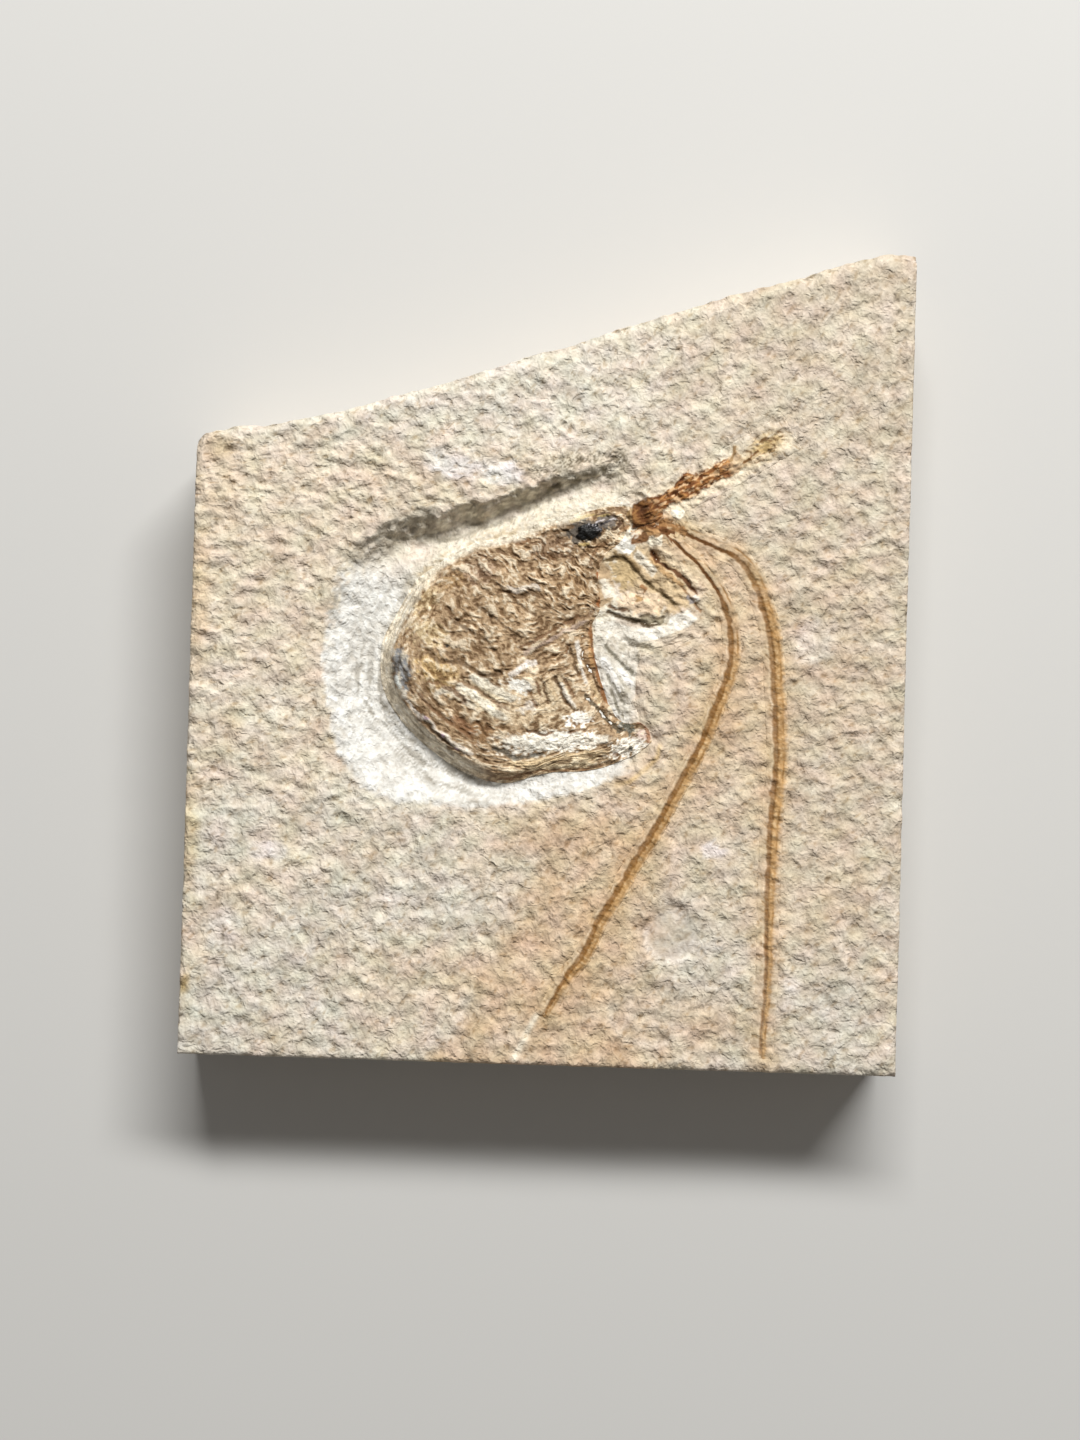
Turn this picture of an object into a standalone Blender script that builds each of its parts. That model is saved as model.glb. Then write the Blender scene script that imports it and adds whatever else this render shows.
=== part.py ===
"""Fossil shrimp slab: a sawn limestone plate with a curled shrimp in a prepared hollow.

Metres, +Z out of the fossil face, +Y towards the slanted broken edge, origin under
the middle of the plate. Lengths below are written in millimetres and scaled by MM.
"""
import math

import bmesh
import bpy
import numpy as np

MM = 0.001

# ---- driving dimensions (mm) -------------------------------------------------
SLAB_T = 18.0            # thickness of the plate
X_LEFT = -53.7           # sawn left edge
X_RIGHT_LOW = 53.7       # right edge at the bottom corner
X_RIGHT_TOP = 53.0       # right edge at the top corner
Y_BOTTOM = -61.5         # sawn bottom edge
EDGE_INSET = 0.9         # width of the worn arris round the face
EDGE_DROP = 0.35         # drop of the worn arris on the sawn edges
CHIP_DROP = 0.9          # drop of the chipped arris on the broken edge
CHIP_PITCH = 1.7         # chips along the broken edge, radians per mm
FINE_STEP = 1.65         # grid step around the shrimp
COARSE_STEP = 5.2        # grid step on the plain parts of the face
FINE_X = (-36.0, 27.0)   # stretch of fine grid lines across the plate
FINE_Y = (-26.0, 24.0)   # the same along it; rows above it follow the slanted edge
SLANT_ROWS = 8
SLANT_CROWDING = 1.4     # above 1 those rows crowd towards the hollow
WAVE = 0.25              # height of the slow swells of the face
GAP = 0.30               # clearance kept between neighbouring bodies
SHARP_ANGLE = 40.0       # edges sharper than this stay sharp, degrees

BED_DEPTH = 1.0          # bed under the shrimp, below the face
BED_SLOPE = 2.4          # width of the slope from the face down to the bed
OPEN_SLOPE = 1.6         # extra width of that slope on the open right side
BED_MARGIN = 0.9         # level bed kept round the shrimp's outline
TRENCH_DEPTH = 2.6       # prepared trench round the back of the shrimp, below the bed
TRENCH_RISE = 2.2        # width of the slope from the bed down to the trench floor
WALL_STEEP = 2.2         # width of the steep wall on the upper side
WALL_GENTLE = 6.5        # width of the gentle slope on the left and lower sides

UPPER_START = 2.0        # the steep wall takes over above the line y + lean * x = start
UPPER_LEAN = 0.35
UPPER_BLEND = 9.0        # width of that change
OPEN_START = 7.0         # the trench runs out to the right from this x on
OPEN_BLEND = 8.0         # width over which it runs out

BODY_EDGE = 0.55         # thickness of the shrimp at its outline
BODY_RISE = 1.75         # extra thickness along the middle of the shrimp
BODY_FULLNESS = 0.62     # below 1 the cross section is squarer than a sine
HEAD_TAPER = 0.08        # share of the curl over which the head rises to full thickness
TAIL_TAPER = 0.10        # the same at the tail
END_RISE = 0.40          # share of the rise left at both ends
FURROW_DEPTH = 0.38      # furrows between the tail segments and behind the head
BODY_STATIONS = 52       # cross sections along the curl
BODY_ACROSS = 11         # cells across the body

EYE_A, EYE_B, EYE_H = 1.85, 1.25, 0.75   # half sizes of the eye bead
EYE_AT = (5.9, 19.0)
EYE_TURN = 18.0                          # degrees
SOCKET_FLOOR = -0.15                     # floor of the eye's pit, from the face
SOCKET_HEIGHT = 2.5                      # half height of the cutter that sinks the pit

# broken upper edge of the plate, left to right
TOP_EDGE = [(-53.7, 30.6), (-47.6, 32.7), (-43.6, 32.9), (-37.4, 34.2), (-32.3, 35.3),
            (-28.2, 36.6), (-24.2, 37.9), (-20.8, 38.8), (-16.5, 40.1), (-12.7, 41.4),
            (-8.8, 42.7), (-5.0, 44.2), (2.1, 46.2), (8.6, 48.8), (14.5, 50.7),
            (20.3, 52.6), (26.1, 54.6), (32.0, 56.2), (39.7, 58.6), (47.1, 60.8),
            (49.3, 61.4), (53.0, 61.5)]

# lip of the hollow: upper wall, left, lower side, then the open right side
RIM = [(13.0, 26.2), (6.6, 28.6), (2.9, 27.9), (-0.8, 26.6), (-6.7, 24.3), (-10.7, 22.4),
       (-14.9, 21.8), (-19.3, 21.6), (-23.8, 20.0), (-27.4, 17.4), (-31.5, 14.1),
       (-32.9, 10.7), (-33.8, 7.0), (-34.4, 1.0), (-34.2, -5.0), (-33.2, -10.9),
       (-31.6, -16.1), (-29.2, -19.8), (-25.4, -22.3), (-20.1, -23.3), (-9.7, -23.6),
       (-3.7, -22.8), (5.2, -21.6), (10.6, -20.6), (16.0, -19.2), (20.6, -16.6),
       (22.4, -11.0), (21.5, -4.0), (22.6, 1.5), (25.2, 5.0), (26.2, 10.0), (24.4, 15.0),
       (21.0, 20.0), (17.0, 24.0)]

# back (dorsal) and belly (ventral) lines of the curled body, head to tail
DORSAL = [(11.6, 22.2), (8.3, 22.2), (3.1, 21.0), (-1.4, 20.0), (-6.6, 17.5), (-12.4, 15.8),
          (-18.0, 12.4), (-22.4, 7.3), (-25.0, 0.9), (-25.2, -5.0), (-22.3, -10.0),
          (-18.1, -14.5), (-12.4, -18.1), (-6.0, -19.3), (0.4, -17.7), (6.6, -17.3),
          (11.0, -15.8), (14.4, -14.0), (16.2, -12.1)]
VENTRAL = [(11.6, 19.7), (10.3, 16.7), (7.9, 14.9), (7.1, 11.6), (7.4, 7.6), (6.7, 5.6),
           (6.1, 3.5), (6.1, 2.0), (6.3, 0.9), (6.9, -0.9), (7.4, -2.8), (7.9, -4.7),
           (8.5, -6.2), (9.2, -7.7), (9.7, -8.9), (10.4, -9.8), (12.0, -9.8), (13.8, -9.7),
           (15.5, -10.7)]
SOMITES = [0.47, 0.55, 0.63, 0.71, 0.79, 0.87, 0.94]   # furrows, share of the curl
NECK_FURROW = 0.30                                     # furrow across the carapace
FURROW_WIDTH = 0.012                                   # share of the curl

# limbs: paths, then half width and height at root and tip
ROSTRUM = [(9.0, 20.6), (11.6, 21.0), (15.0, 22.5), (18.6, 25.0), (22.3, 26.6), (25.3, 28.2),
           (27.5, 29.8), (30.4, 31.8), (33.6, 33.5)]
ROSTRUM_SPUR = [(25.6, 28.4), (25.9, 29.8), (26.2, 31.4)]
FACE_SPINES = [(9.0, 19.6), (11.5, 19.6), (13.6, 19.7), (15.6, 19.8)]
FRONT_LEG = [(8.6, 17.6), (11.2, 17.6), (14.0, 16.4), (16.0, 14.5), (17.8, 12.6), (19.5, 11.1),
             (21.1, 9.8), (22.3, 8.7)]
SECOND_ARM = [(5.5, 14.0), (8.2, 15.0), (10.8, 14.2), (13.1, 12.2), (15.4, 10.3), (17.4, 8.7),
              (19.6, 7.6)]
SECOND_HAND = [(20.6, 5.9), (17.8, 5.5), (13.3, 6.0), (8.0, 6.8), (5.0, 7.2)]
LIMBS = [("rostrum", ROSTRUM, (1.55, 0.35), (1.45, 0.45)),
         ("rostrum_spur", ROSTRUM_SPUR, (0.55, 0.25), (0.60, 0.35)),
         ("face_spines", FACE_SPINES, (1.10, 0.55), (1.20, 0.60)),
         ("front_leg", FRONT_LEG, (1.10, 0.45), (1.05, 0.50)),
         ("second_arm", SECOND_ARM, (1.20, 0.75), (1.10, 0.65)),
         ("second_hand", SECOND_HAND, (0.55, 0.85), (0.62, 0.90))]
SWIMMERETS = [[(4.6, 4.2), (6.3, 0.1), (7.3, -2.1), (8.4, -5.1), (9.6, -7.3), (11.2, -9.2)],
              [(3.0, 2.6), (5.0, -0.7), (6.1, -3.7), (7.1, -6.6)],
              [(1.0, 1.2), (2.4, -1.6), (3.4, -4.6), (4.6, -7.6)],
              [(-1.6, -1.4), (-0.6, -4.6), (0.6, -7.8)]]
SWIM_HALF, SWIM_HIGH = (0.62, 0.37), (2.30, 1.20)
LIMB_STATIONS = 9
LIMB_LIFT = 0.06                         # foot of a limb above the foot of the body

INNER_ANTENNA = [(17.6, 17.6), (18.9, 16.6), (20.4, 15.2), (22.0, 13.5), (23.6, 11.5),
                 (24.9, 9.6), (25.9, 7.7), (26.7, 5.4), (27.1, 3.2), (27.3, 0.8),
                 (26.9, -1.9), (25.9, -5.2), (24.5, -8.8), (23.2, -12.4), (21.5, -16.0),
                 (19.8, -19.4), (18.0, -23.2), (15.9, -27.1), (13.6, -30.8), (11.3, -35.2),
                 (8.8, -39.6), (6.6, -44.5), (4.2, -48.2), (2.1, -52.0), (0.7, -54.5)]
OUTER_ANTENNA = [(17.4, 20.4), (18.9, 19.2), (20.7, 18.3), (22.6, 17.4), (25.0, 16.5),
                 (27.2, 15.5), (29.2, 13.6), (30.6, 11.4), (31.6, 8.6), (32.6, 5.6),
                 (33.3, 2.4), (33.7, -1.6), (34.1, -6.6), (34.5, -12.0), (34.5, -17.2),
                 (34.2, -21.6), (34.0, -26.6), (33.9, -31.6), (33.8, -36.6), (33.9, -41.6),
                 (34.0, -46.6), (33.8, -51.2), (33.6, -55.6), (33.6, -59.4)]
ANTENNAE = [("inner_antenna", INNER_ANTENNA, (0.62, 0.35), (0.55, 0.35)),
            ("outer_antenna", OUTER_ANTENNA, (0.85, 0.60), (0.65, 0.45))]
ANTENNA_STATIONS = 44
RIDGE_SECTION = [(-1.0, 0.0), (-0.82, 0.62), (-0.35, 1.0), (0.35, 1.0), (0.82, 0.62), (1.0, 0.0)]

MATERIALS = {
    "limestone": ((0.66, 0.58, 0.45, 1.0), 0.85),
    "fossil_shell": ((0.42, 0.29, 0.17, 1.0), 0.60),
    "dark_mineral": ((0.030, 0.028, 0.026, 1.0), 0.35),
    "rust_stain": ((0.33, 0.17, 0.06, 1.0), 0.65),
}


# ---- plane geometry ----------------------------------------------------------
def smooth(value):
    """Cubic step: 0 below 0, 1 above 1."""
    v = min(1.0, max(0.0, value))
    return v * v * (3.0 - 2.0 * v)


def curve_at(points, count):
    """Catmull-Rom curve, count + 1 samples spread evenly over its own points."""
    pts = np.array(points, float)
    ext = np.vstack([2 * pts[0] - pts[1], pts, 2 * pts[-1] - pts[-2]])
    out = []
    for want in np.linspace(0.0, len(pts) - 1.0, count + 1):
        i = min(int(want), len(pts) - 2)
        t = want - i
        p0, p1, p2, p3 = ext[i:i + 4]
        out.append(0.5 * (2 * p1 + (p2 - p0) * t + (2 * p0 - 5 * p1 + 4 * p2 - p3) * t * t
                          + (3 * p1 - p0 - 3 * p2 + p3) * t ** 3))
    return np.array(out)


def even_curve(points, count):
    """The same curve, count + 1 samples spread evenly over its length."""
    dense = curve_at(points, 16 * (len(points) - 1))
    run = np.concatenate([[0.0], np.cumsum(np.hypot(*np.diff(dense, axis=0).T))])
    want = np.linspace(0.0, run[-1], count + 1)
    return np.column_stack([np.interp(want, run, dense[:, 0]), np.interp(want, run, dense[:, 1])])


def outline_distance(poly, x, y):
    """Signed distance to a closed outline, positive inside."""
    best, inside = 1e9, False
    for (ax, ay), (bx, by) in zip(poly, np.roll(poly, -1, axis=0)):
        dx, dy = bx - ax, by - ay
        t = min(1.0, max(0.0, ((x - ax) * dx + (y - ay) * dy) / (dx * dx + dy * dy)))
        best = min(best, math.hypot(x - ax - t * dx, y - ay - t * dy))
        if (ay > y) != (by > y) and x < ax + (y - ay) * dx / dy:
            inside = not inside
    return best if inside else -best


RIM_POLY = np.array(RIM, float)
BODY_BACK = curve_at(DORSAL, BODY_STATIONS)
BODY_BELLY = curve_at(VENTRAL, BODY_STATIONS)
BODY_POLY = np.vstack([BODY_BACK, BODY_BELLY[::-1]])


def face_height(x, y):
    """Height of the fossil face: slow swells, the bed and the trench round the back."""
    z = SLAB_T + WAVE * (math.sin(x / 11.0 + 0.6) * math.cos(y / 14.0 - 0.4) - 0.4)
    rim = outline_distance(RIM_POLY, x, y)
    if rim <= 0.0:
        return z
    body = -outline_distance(BODY_POLY, x, y)
    upper = smooth((y + UPPER_LEAN * x - UPPER_START) / UPPER_BLEND)
    right = smooth((x - OPEN_START) / OPEN_BLEND)
    wall = WALL_GENTLE + (WALL_STEEP - WALL_GENTLE) * upper
    away = smooth((body - BED_MARGIN) / TRENCH_RISE)
    bed = SLAB_T - BED_DEPTH
    z += (bed - z) * smooth(rim / (BED_SLOPE + OPEN_SLOPE * right))
    return z - TRENCH_DEPTH * smooth(rim / wall) * away * (1.0 - right)


# ---- mesh helpers ------------------------------------------------------------
def material(name):
    mat = bpy.data.materials.get(name)
    if mat is None:
        colour, rough = MATERIALS[name]
        mat = bpy.data.materials.new(name)
        mat.use_nodes = True
        shader = mat.node_tree.nodes["Principled BSDF"]
        shader.inputs["Base Color"].default_value = colour
        shader.inputs["Roughness"].default_value = rough
        mat.diffuse_color = colour
    return mat


def solid(name, verts, faces, mat_name):
    """Closed body from points in millimetres."""
    bm = bmesh.new()
    pts = [bm.verts.new((v[0] * MM, v[1] * MM, v[2] * MM)) for v in verts]
    for face in faces:
        bm.faces.new([pts[i] for i in face])
    bmesh.ops.recalc_face_normals(bm, faces=bm.faces)
    mesh = bpy.data.meshes.new(name)
    bm.to_mesh(mesh)
    bm.free()
    mesh.shade_smooth()
    mesh.set_sharp_from_angle(angle=math.radians(SHARP_ANGLE))
    mesh.materials.append(material(mat_name))
    obj = bpy.data.objects.new(name, mesh)
    bpy.context.scene.collection.objects.link(obj)
    return obj


def combine(target, tool, operation):
    """Live boolean of two bodies; the tool stays in the file as a hidden guide."""
    mod = target.modifiers.new(tool.name, "BOOLEAN")
    mod.operation = operation
    mod.solver = "EXACT"
    mod.object = tool
    tool.hide_render = True
    tool.display_type = "WIRE"


def at_eye(name, bm, size, low, mat_name):
    """Primitive one unit wide, scaled to half sizes and set at the eye, its foot at low."""
    bmesh.ops.scale(bm, vec=[2.0 * v * MM for v in size], verts=bm.verts)
    mesh = bpy.data.meshes.new(name)
    bm.to_mesh(mesh)
    bm.free()
    mesh.materials.append(material(mat_name))
    obj = bpy.data.objects.new(name, mesh)
    obj.location = (EYE_AT[0] * MM, EYE_AT[1] * MM, (low + size[2]) * MM)
    obj.rotation_euler.z = math.radians(EYE_TURN)
    bpy.context.scene.collection.objects.link(obj)
    return obj


def plate(name, top, foot, mat_name):
    """Closed body with a grid of points for its upper side, upright edges and a flat foot."""
    rows, cols = top.shape[:2]
    verts = [tuple(p) for p in top.reshape(-1, 3)]
    faces = []
    for j in range(rows - 1):
        for a in range(j * cols, j * cols + cols - 1):
            faces.append((a, a + 1, a + cols + 1, a + cols))
    ring = list(range(cols))
    ring += [j * cols + cols - 1 for j in range(1, rows)]
    ring += [(rows - 1) * cols + i for i in range(cols - 2, -1, -1)]
    ring += [j * cols for j in range(rows - 2, 0, -1)]
    base, n = len(verts), len(ring)
    verts += [(verts[i][0], verts[i][1], foot) for i in ring]
    for k in range(n):
        after = (k + 1) % n
        faces.append((base + k, base + after, ring[after], ring[k]))
    faces.append(tuple(range(base + n - 1, base - 1, -1)))
    return solid(name, verts, faces, mat_name)


def ridge(name, path, half, high, mat_name, count, lift=GAP):
    """Low rounded ridge lying on the face along a path; half and high are (root, tip)."""
    line = even_curve(path, count)
    tangent = np.gradient(line, axis=0)
    tangent /= np.hypot(tangent[:, 0], tangent[:, 1])[:, None]
    normal = np.column_stack([-tangent[:, 1], tangent[:, 0]])
    verts, faces, m = [], [], len(RIDGE_SECTION)
    for i, (p, side) in enumerate(zip(line, normal)):
        width = half[0] + (half[1] - half[0]) * i / count
        height = high[0] + (high[1] - high[0]) * i / count
        floor = lift + max(face_height(*(p + side * width * k)) for k in (-1.0, 0.0, 1.0))
        for across, up in RIDGE_SECTION:
            q = p + side * width * across
            verts.append((q[0], q[1], floor + height * up))
    for i in range(count):
        for j in range(m):
            a, b = i * m + j, i * m + (j + 1) % m
            faces.append((a, b, b + m, a + m))
    faces.append(tuple(range(m - 1, -1, -1)))
    faces.append(tuple(range(count * m, (count + 1) * m)))
    return solid(name, verts, faces, mat_name)


# ---- the bodies --------------------------------------------------------------
def grid_lines(low, fine_low, fine_high):
    """Lines from an edge inwards: its arris, coarse lines, then the fine zone."""
    coarse = round((fine_low - low - EDGE_INSET) / COARSE_STEP)
    fine = round((fine_high - fine_low) / FINE_STEP)
    lines = [low, *np.linspace(low + EDGE_INSET, fine_low, coarse + 1)]
    return lines + list(np.linspace(fine_low, fine_high, fine + 1)[1:])


def build_slab():
    xs = grid_lines(X_LEFT, *FINE_X)
    coarse = round((X_RIGHT_LOW - EDGE_INSET - FINE_X[1]) / COARSE_STEP)
    xs += list(np.linspace(FINE_X[1], X_RIGHT_LOW - EDGE_INSET, coarse + 1)[1:])
    xs.append(X_RIGHT_LOW)
    level_rows = grid_lines(Y_BOTTOM, *FINE_Y)
    shares = [(k / SLANT_ROWS) ** SLANT_CROWDING for k in range(1, SLANT_ROWS + 1)]
    grid = []
    for x_low in xs:
        edge = float(np.interp(x_low, *zip(*TOP_EDGE)))
        reach = edge - EDGE_INSET - FINE_Y[1]
        ys = level_rows + [FINE_Y[1] + reach * share for share in shares] + [edge]
        column = []
        for y in ys:
            lean = (y - Y_BOTTOM) / (TOP_EDGE[-1][1] - Y_BOTTOM)
            right = X_RIGHT_LOW + (X_RIGHT_TOP - X_RIGHT_LOW) * lean
            x = X_LEFT + (x_low - X_LEFT) * (right - X_LEFT) / (X_RIGHT_LOW - X_LEFT)
            column.append((x, y, face_height(x, y)))
        grid.append(column)
    top = np.array(grid)
    for sawn in (top[0, :-1], top[-1, :-1], top[1:-1, 0]):
        sawn[:, 2] -= EDGE_DROP
    x = top[:, -1, 0]
    top[:, -1, 2] -= CHIP_DROP * (0.75 + 0.25 * np.sin(CHIP_PITCH * x + np.sin(0.6 * x)))
    return plate("limestone_slab", top, 0.0, "limestone")


def body_thickness(s, t):
    """Thickness of the shrimp at share s of the curl and t across, back to belly."""
    bulge = max(0.0, math.sin(math.pi * t)) ** BODY_FULLNESS
    ends = smooth(s / HEAD_TAPER) * smooth((1.0 - s) / TAIL_TAPER)
    high = BODY_EDGE + BODY_RISE * bulge * (END_RISE + (1.0 - END_RISE) * ends)
    for furrow in [NECK_FURROW] + SOMITES:
        high -= FURROW_DEPTH * bulge * math.exp(-((s - furrow) / FURROW_WIDTH) ** 2)
    return high


def build_body():
    foot = SLAB_T - BED_DEPTH + GAP
    across = np.linspace(0.0, 1.0, BODY_ACROSS + 1)
    top = np.empty((BODY_STATIONS + 1, BODY_ACROSS + 1, 3))
    for i, (back, belly) in enumerate(zip(BODY_BACK, BODY_BELLY)):
        for j, t in enumerate(across):
            top[i, j, :2] = back * (1.0 - t) + belly * t
            top[i, j, 2] = foot + body_thickness(i / BODY_STATIONS, t)
    body = plate("shrimp_body", top, foot, "fossil_shell")
    for name, path, half, high in LIMBS:
        limb = ridge(name, path, half, high, "fossil_shell", LIMB_STATIONS, GAP + LIMB_LIFT)
        combine(body, limb, "UNION")
    for k, path in enumerate(SWIMMERETS):
        lift = GAP + LIMB_LIFT * (1.5 + 0.3 * k)
        fin = ridge(f"swimmeret_{k + 1}", path, SWIM_HALF, SWIM_HIGH, "fossil_shell",
                    LIMB_STATIONS, lift)
        combine(body, fin, "UNION")
    combine(body, build_eye_socket(), "DIFFERENCE")
    return body


def build_eye_socket():
    """Upright elliptic cutter that leaves a clear pit round the eye."""
    bm = bmesh.new()
    bmesh.ops.create_cone(bm, cap_ends=True, segments=24, radius1=0.5, radius2=0.5, depth=1.0)
    size = (EYE_A + GAP, EYE_B + GAP, SOCKET_HEIGHT)
    return at_eye("eye_socket", bm, size, SLAB_T + SOCKET_FLOOR, "fossil_shell")


def build_eye():
    """Flattened bead standing in its pit."""
    bm = bmesh.new()
    bmesh.ops.create_uvsphere(bm, u_segments=20, v_segments=10, radius=0.5)
    size = (EYE_A, EYE_B, EYE_H)
    eye = at_eye("eye", bm, size, SLAB_T + SOCKET_FLOOR + GAP, "dark_mineral")
    eye.data.shade_smooth()
    return eye


def main():
    for obj in list(bpy.data.objects):
        bpy.data.objects.remove(obj, do_unlink=True)
    build_slab()
    build_body()
    build_eye()
    for name, path, half, high in ANTENNAE:
        ridge(name, path, half, high, "rust_stain", ANTENNA_STATIONS)


main()
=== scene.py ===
"""Looks of the fossil shrimp plate: sawn limestone, a curled brown shrimp and its antennae.

Lengths are in millimetres in the plate's own frame and become metres where a mesh is made.
Every piece is a grid of heights closed into a solid. Its colours are a point attribute named
tint, whose fourth channel says how strongly the fine grain of the stone shows.
"""

import math

import bpy
import numpy as np
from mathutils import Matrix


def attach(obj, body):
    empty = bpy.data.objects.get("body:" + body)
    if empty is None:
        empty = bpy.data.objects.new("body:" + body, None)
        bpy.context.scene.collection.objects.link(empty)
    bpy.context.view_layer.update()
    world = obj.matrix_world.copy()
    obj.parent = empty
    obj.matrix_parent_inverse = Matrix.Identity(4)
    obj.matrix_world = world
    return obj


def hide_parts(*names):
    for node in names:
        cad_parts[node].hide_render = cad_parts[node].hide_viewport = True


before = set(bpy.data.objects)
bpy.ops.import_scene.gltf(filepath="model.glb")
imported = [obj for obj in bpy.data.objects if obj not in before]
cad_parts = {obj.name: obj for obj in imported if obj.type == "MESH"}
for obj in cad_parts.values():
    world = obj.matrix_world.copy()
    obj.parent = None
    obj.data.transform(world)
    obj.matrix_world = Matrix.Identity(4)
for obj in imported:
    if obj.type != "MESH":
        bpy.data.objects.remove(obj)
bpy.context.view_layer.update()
MM = 0.001

# ---- studio --------------------------------------------------------------------------
# The plate lies on a pale table. The camera hangs straight above it, turned a little, and
# a wide window-like light stands beyond the slanted edge, so relief throws short shadows.
FACE_Z = 18.0
CAMERA_AT = (-1.1, -9.9)
CAMERA_ROLL = 1.85
LENS = 57.0
CAMERA_RISE = 340.4
KEY_ELEVATION = 45.0
KEY_TURN = 13.0
KEY_DISTANCE = 1000.0
KEY_SIZE = (780.0, 150.0)
KEY_WATTS = 14.6
KEY_COLOUR = (1.0, 0.988, 0.962)
SKY = (1.0, 0.945, 0.88, 1.0)
SKY_STRENGTH = 0.17
TABLE_HALF = 2000.0
PAPER = (0.60, 0.60, 0.59, 1.0)

camera = bpy.data.objects.new("camera", bpy.data.cameras.new("camera"))
camera.data.lens = LENS
camera.data.clip_start = 0.01
camera.location = (CAMERA_AT[0] * MM, CAMERA_AT[1] * MM, (FACE_Z + CAMERA_RISE) * MM)
camera.rotation_euler = (0.0, 0.0, math.radians(CAMERA_ROLL))
bpy.context.scene.collection.objects.link(camera)
bpy.context.scene.camera = camera

key = bpy.data.objects.new("window_light", bpy.data.lights.new("window_light", "AREA"))
key.data.shape = "RECTANGLE"
key.data.size, key.data.size_y = (side * MM for side in KEY_SIZE)
key.data.energy = KEY_WATTS
key.data.color = KEY_COLOUR
tilt, turn = math.radians(KEY_ELEVATION), math.radians(KEY_TURN)
flat = KEY_DISTANCE * math.cos(tilt) * MM
key.location = (flat * math.sin(turn), flat * math.cos(turn), KEY_DISTANCE * math.sin(tilt) * MM)
key.rotation_euler = (tilt - math.pi / 2.0, 0.0, -turn)
bpy.context.scene.collection.objects.link(key)

world = bpy.data.worlds.new("sky")
world.use_nodes = True
world.node_tree.nodes["Background"].inputs["Color"].default_value = SKY
world.node_tree.nodes["Background"].inputs["Strength"].default_value = SKY_STRENGTH
bpy.context.scene.world = world
bpy.context.scene.view_settings.view_transform = "Standard"

table_mesh = bpy.data.meshes.new("table")
side = TABLE_HALF * MM
table_mesh.from_pydata([(-side, -side, 0), (side, -side, 0), (side, side, 0), (-side, side, 0)],
                       [], [(0, 1, 2, 3)])
table = bpy.data.objects.new("table", table_mesh)
paper = bpy.data.materials.new("pale_paper")
paper.use_nodes = True
paper.node_tree.nodes["Principled BSDF"].inputs["Base Color"].default_value = PAPER
paper.node_tree.nodes["Principled BSDF"].inputs["Roughness"].default_value = 0.9
table_mesh.materials.append(paper)
bpy.context.scene.collection.objects.link(table)

# ---- limestone plate -----------------------------------------------------------------
# One piece of cream, thin-bedded limestone. Three edges are sawn, the upper one is broken
# on a slant, and a trench was scraped round the shrimp's back, which left chalky scars.
X_LEFT, X_RIGHT_LOW, X_RIGHT_TOP = -53.7, 53.7, 53.0
Y_LOW, Y_TOP = -61.5, 61.5
BURIED_Z = FACE_Z - 6.0
# broken upper edge, left to right
TOP_EDGE = [(-53.7, 30.4), (-52.6, 31.3), (-47.6, 32.7), (-44.8, 32.9), (-43.6, 32.7),
            (-37.4, 34.2), (-32.3, 35.3), (-28.2, 36.6), (-24.2, 37.9), (-20.8, 38.8),
            (-16.5, 40.1), (-12.7, 41.4), (-8.8, 42.7), (-5.0, 44.2), (-2.9, 44.9),
            (2.1, 46.2), (8.6, 48.8), (14.5, 50.7), (20.3, 52.6), (26.1, 54.6), (32.0, 56.2),
            (35.8, 57.3), (39.7, 58.6), (43.5, 59.9), (47.1, 60.8), (49.3, 61.5), (53.0, 61.3)]
# lip of the trench: the wall from right to left, the left side, the lower side, the right side
RIM = [(13.2, 26.4), (11.8, 28.2), (9.4, 28.9), (6.6, 28.7), (2.9, 27.9), (-0.8, 26.6), (-4.5, 25.3),
       (-6.7, 24.3), (-9.7, 23.0), (-10.7, 22.2), (-12.7, 23.1), (-14.9, 21.8), (-17.1, 21.1),
       (-19.3, 21.8), (-21.5, 20.5), (-23.8, 20.0), (-25.2, 19.2), (-27.4, 16.9),
       (-28.9, 16.7), (-30.3, 14.9), (-31.5, 14.1), (-32.9, 10.7), (-33.8, 7.0),
       (-34.4, 1.0), (-34.0, -5.0), (-32.9, -10.9), (-31.2, -16.1), (-28.4, -20.4),
       (-25.4, -22.3), (-20.1, -23.3), (-15.6, -23.5), (-9.7, -23.6), (-3.7, -22.8),
       (0.7, -21.8), (5.2, -20.7), (9.6, -19.0), (14.0, -16.9), (17.4, -14.4), (17.6, -11.6),
       (14.5, -6.0), (14.5, 0.0), (16.5, 3.5), (18.0, 8.0), (17.0, 14.0), (15.0, 20.0)]
# back and belly of the curled shrimp, head to tail
BACK = [(11.4, 22.4), (8.3, 22.3), (5.3, 21.6), (3.1, 21.0), (0.9, 20.7), (-1.4, 20.0),
        (-3.6, 18.8), (-5.8, 17.7), (-8.0, 17.2), (-11.0, 16.6), (-12.8, 15.8), (-15.4, 14.2),
        (-18.0, 12.4), (-20.4, 10.4), (-22.0, 7.8), (-23.4, 5.0), (-24.8, 2.4), (-25.4, -0.6),
        (-25.2, -4.7), (-24.0, -7.8), (-22.0, -10.6), (-19.7, -13.0), (-17.0, -15.2),
        (-14.2, -17.1), (-11.4, -18.5), (-8.2, -19.4), (-5.0, -19.4), (-2.0, -18.4),
        (1.4, -17.6), (5.0, -17.4), (8.2, -16.8), (11.0, -15.7), (13.6, -14.4), (15.7, -12.6)]
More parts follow.
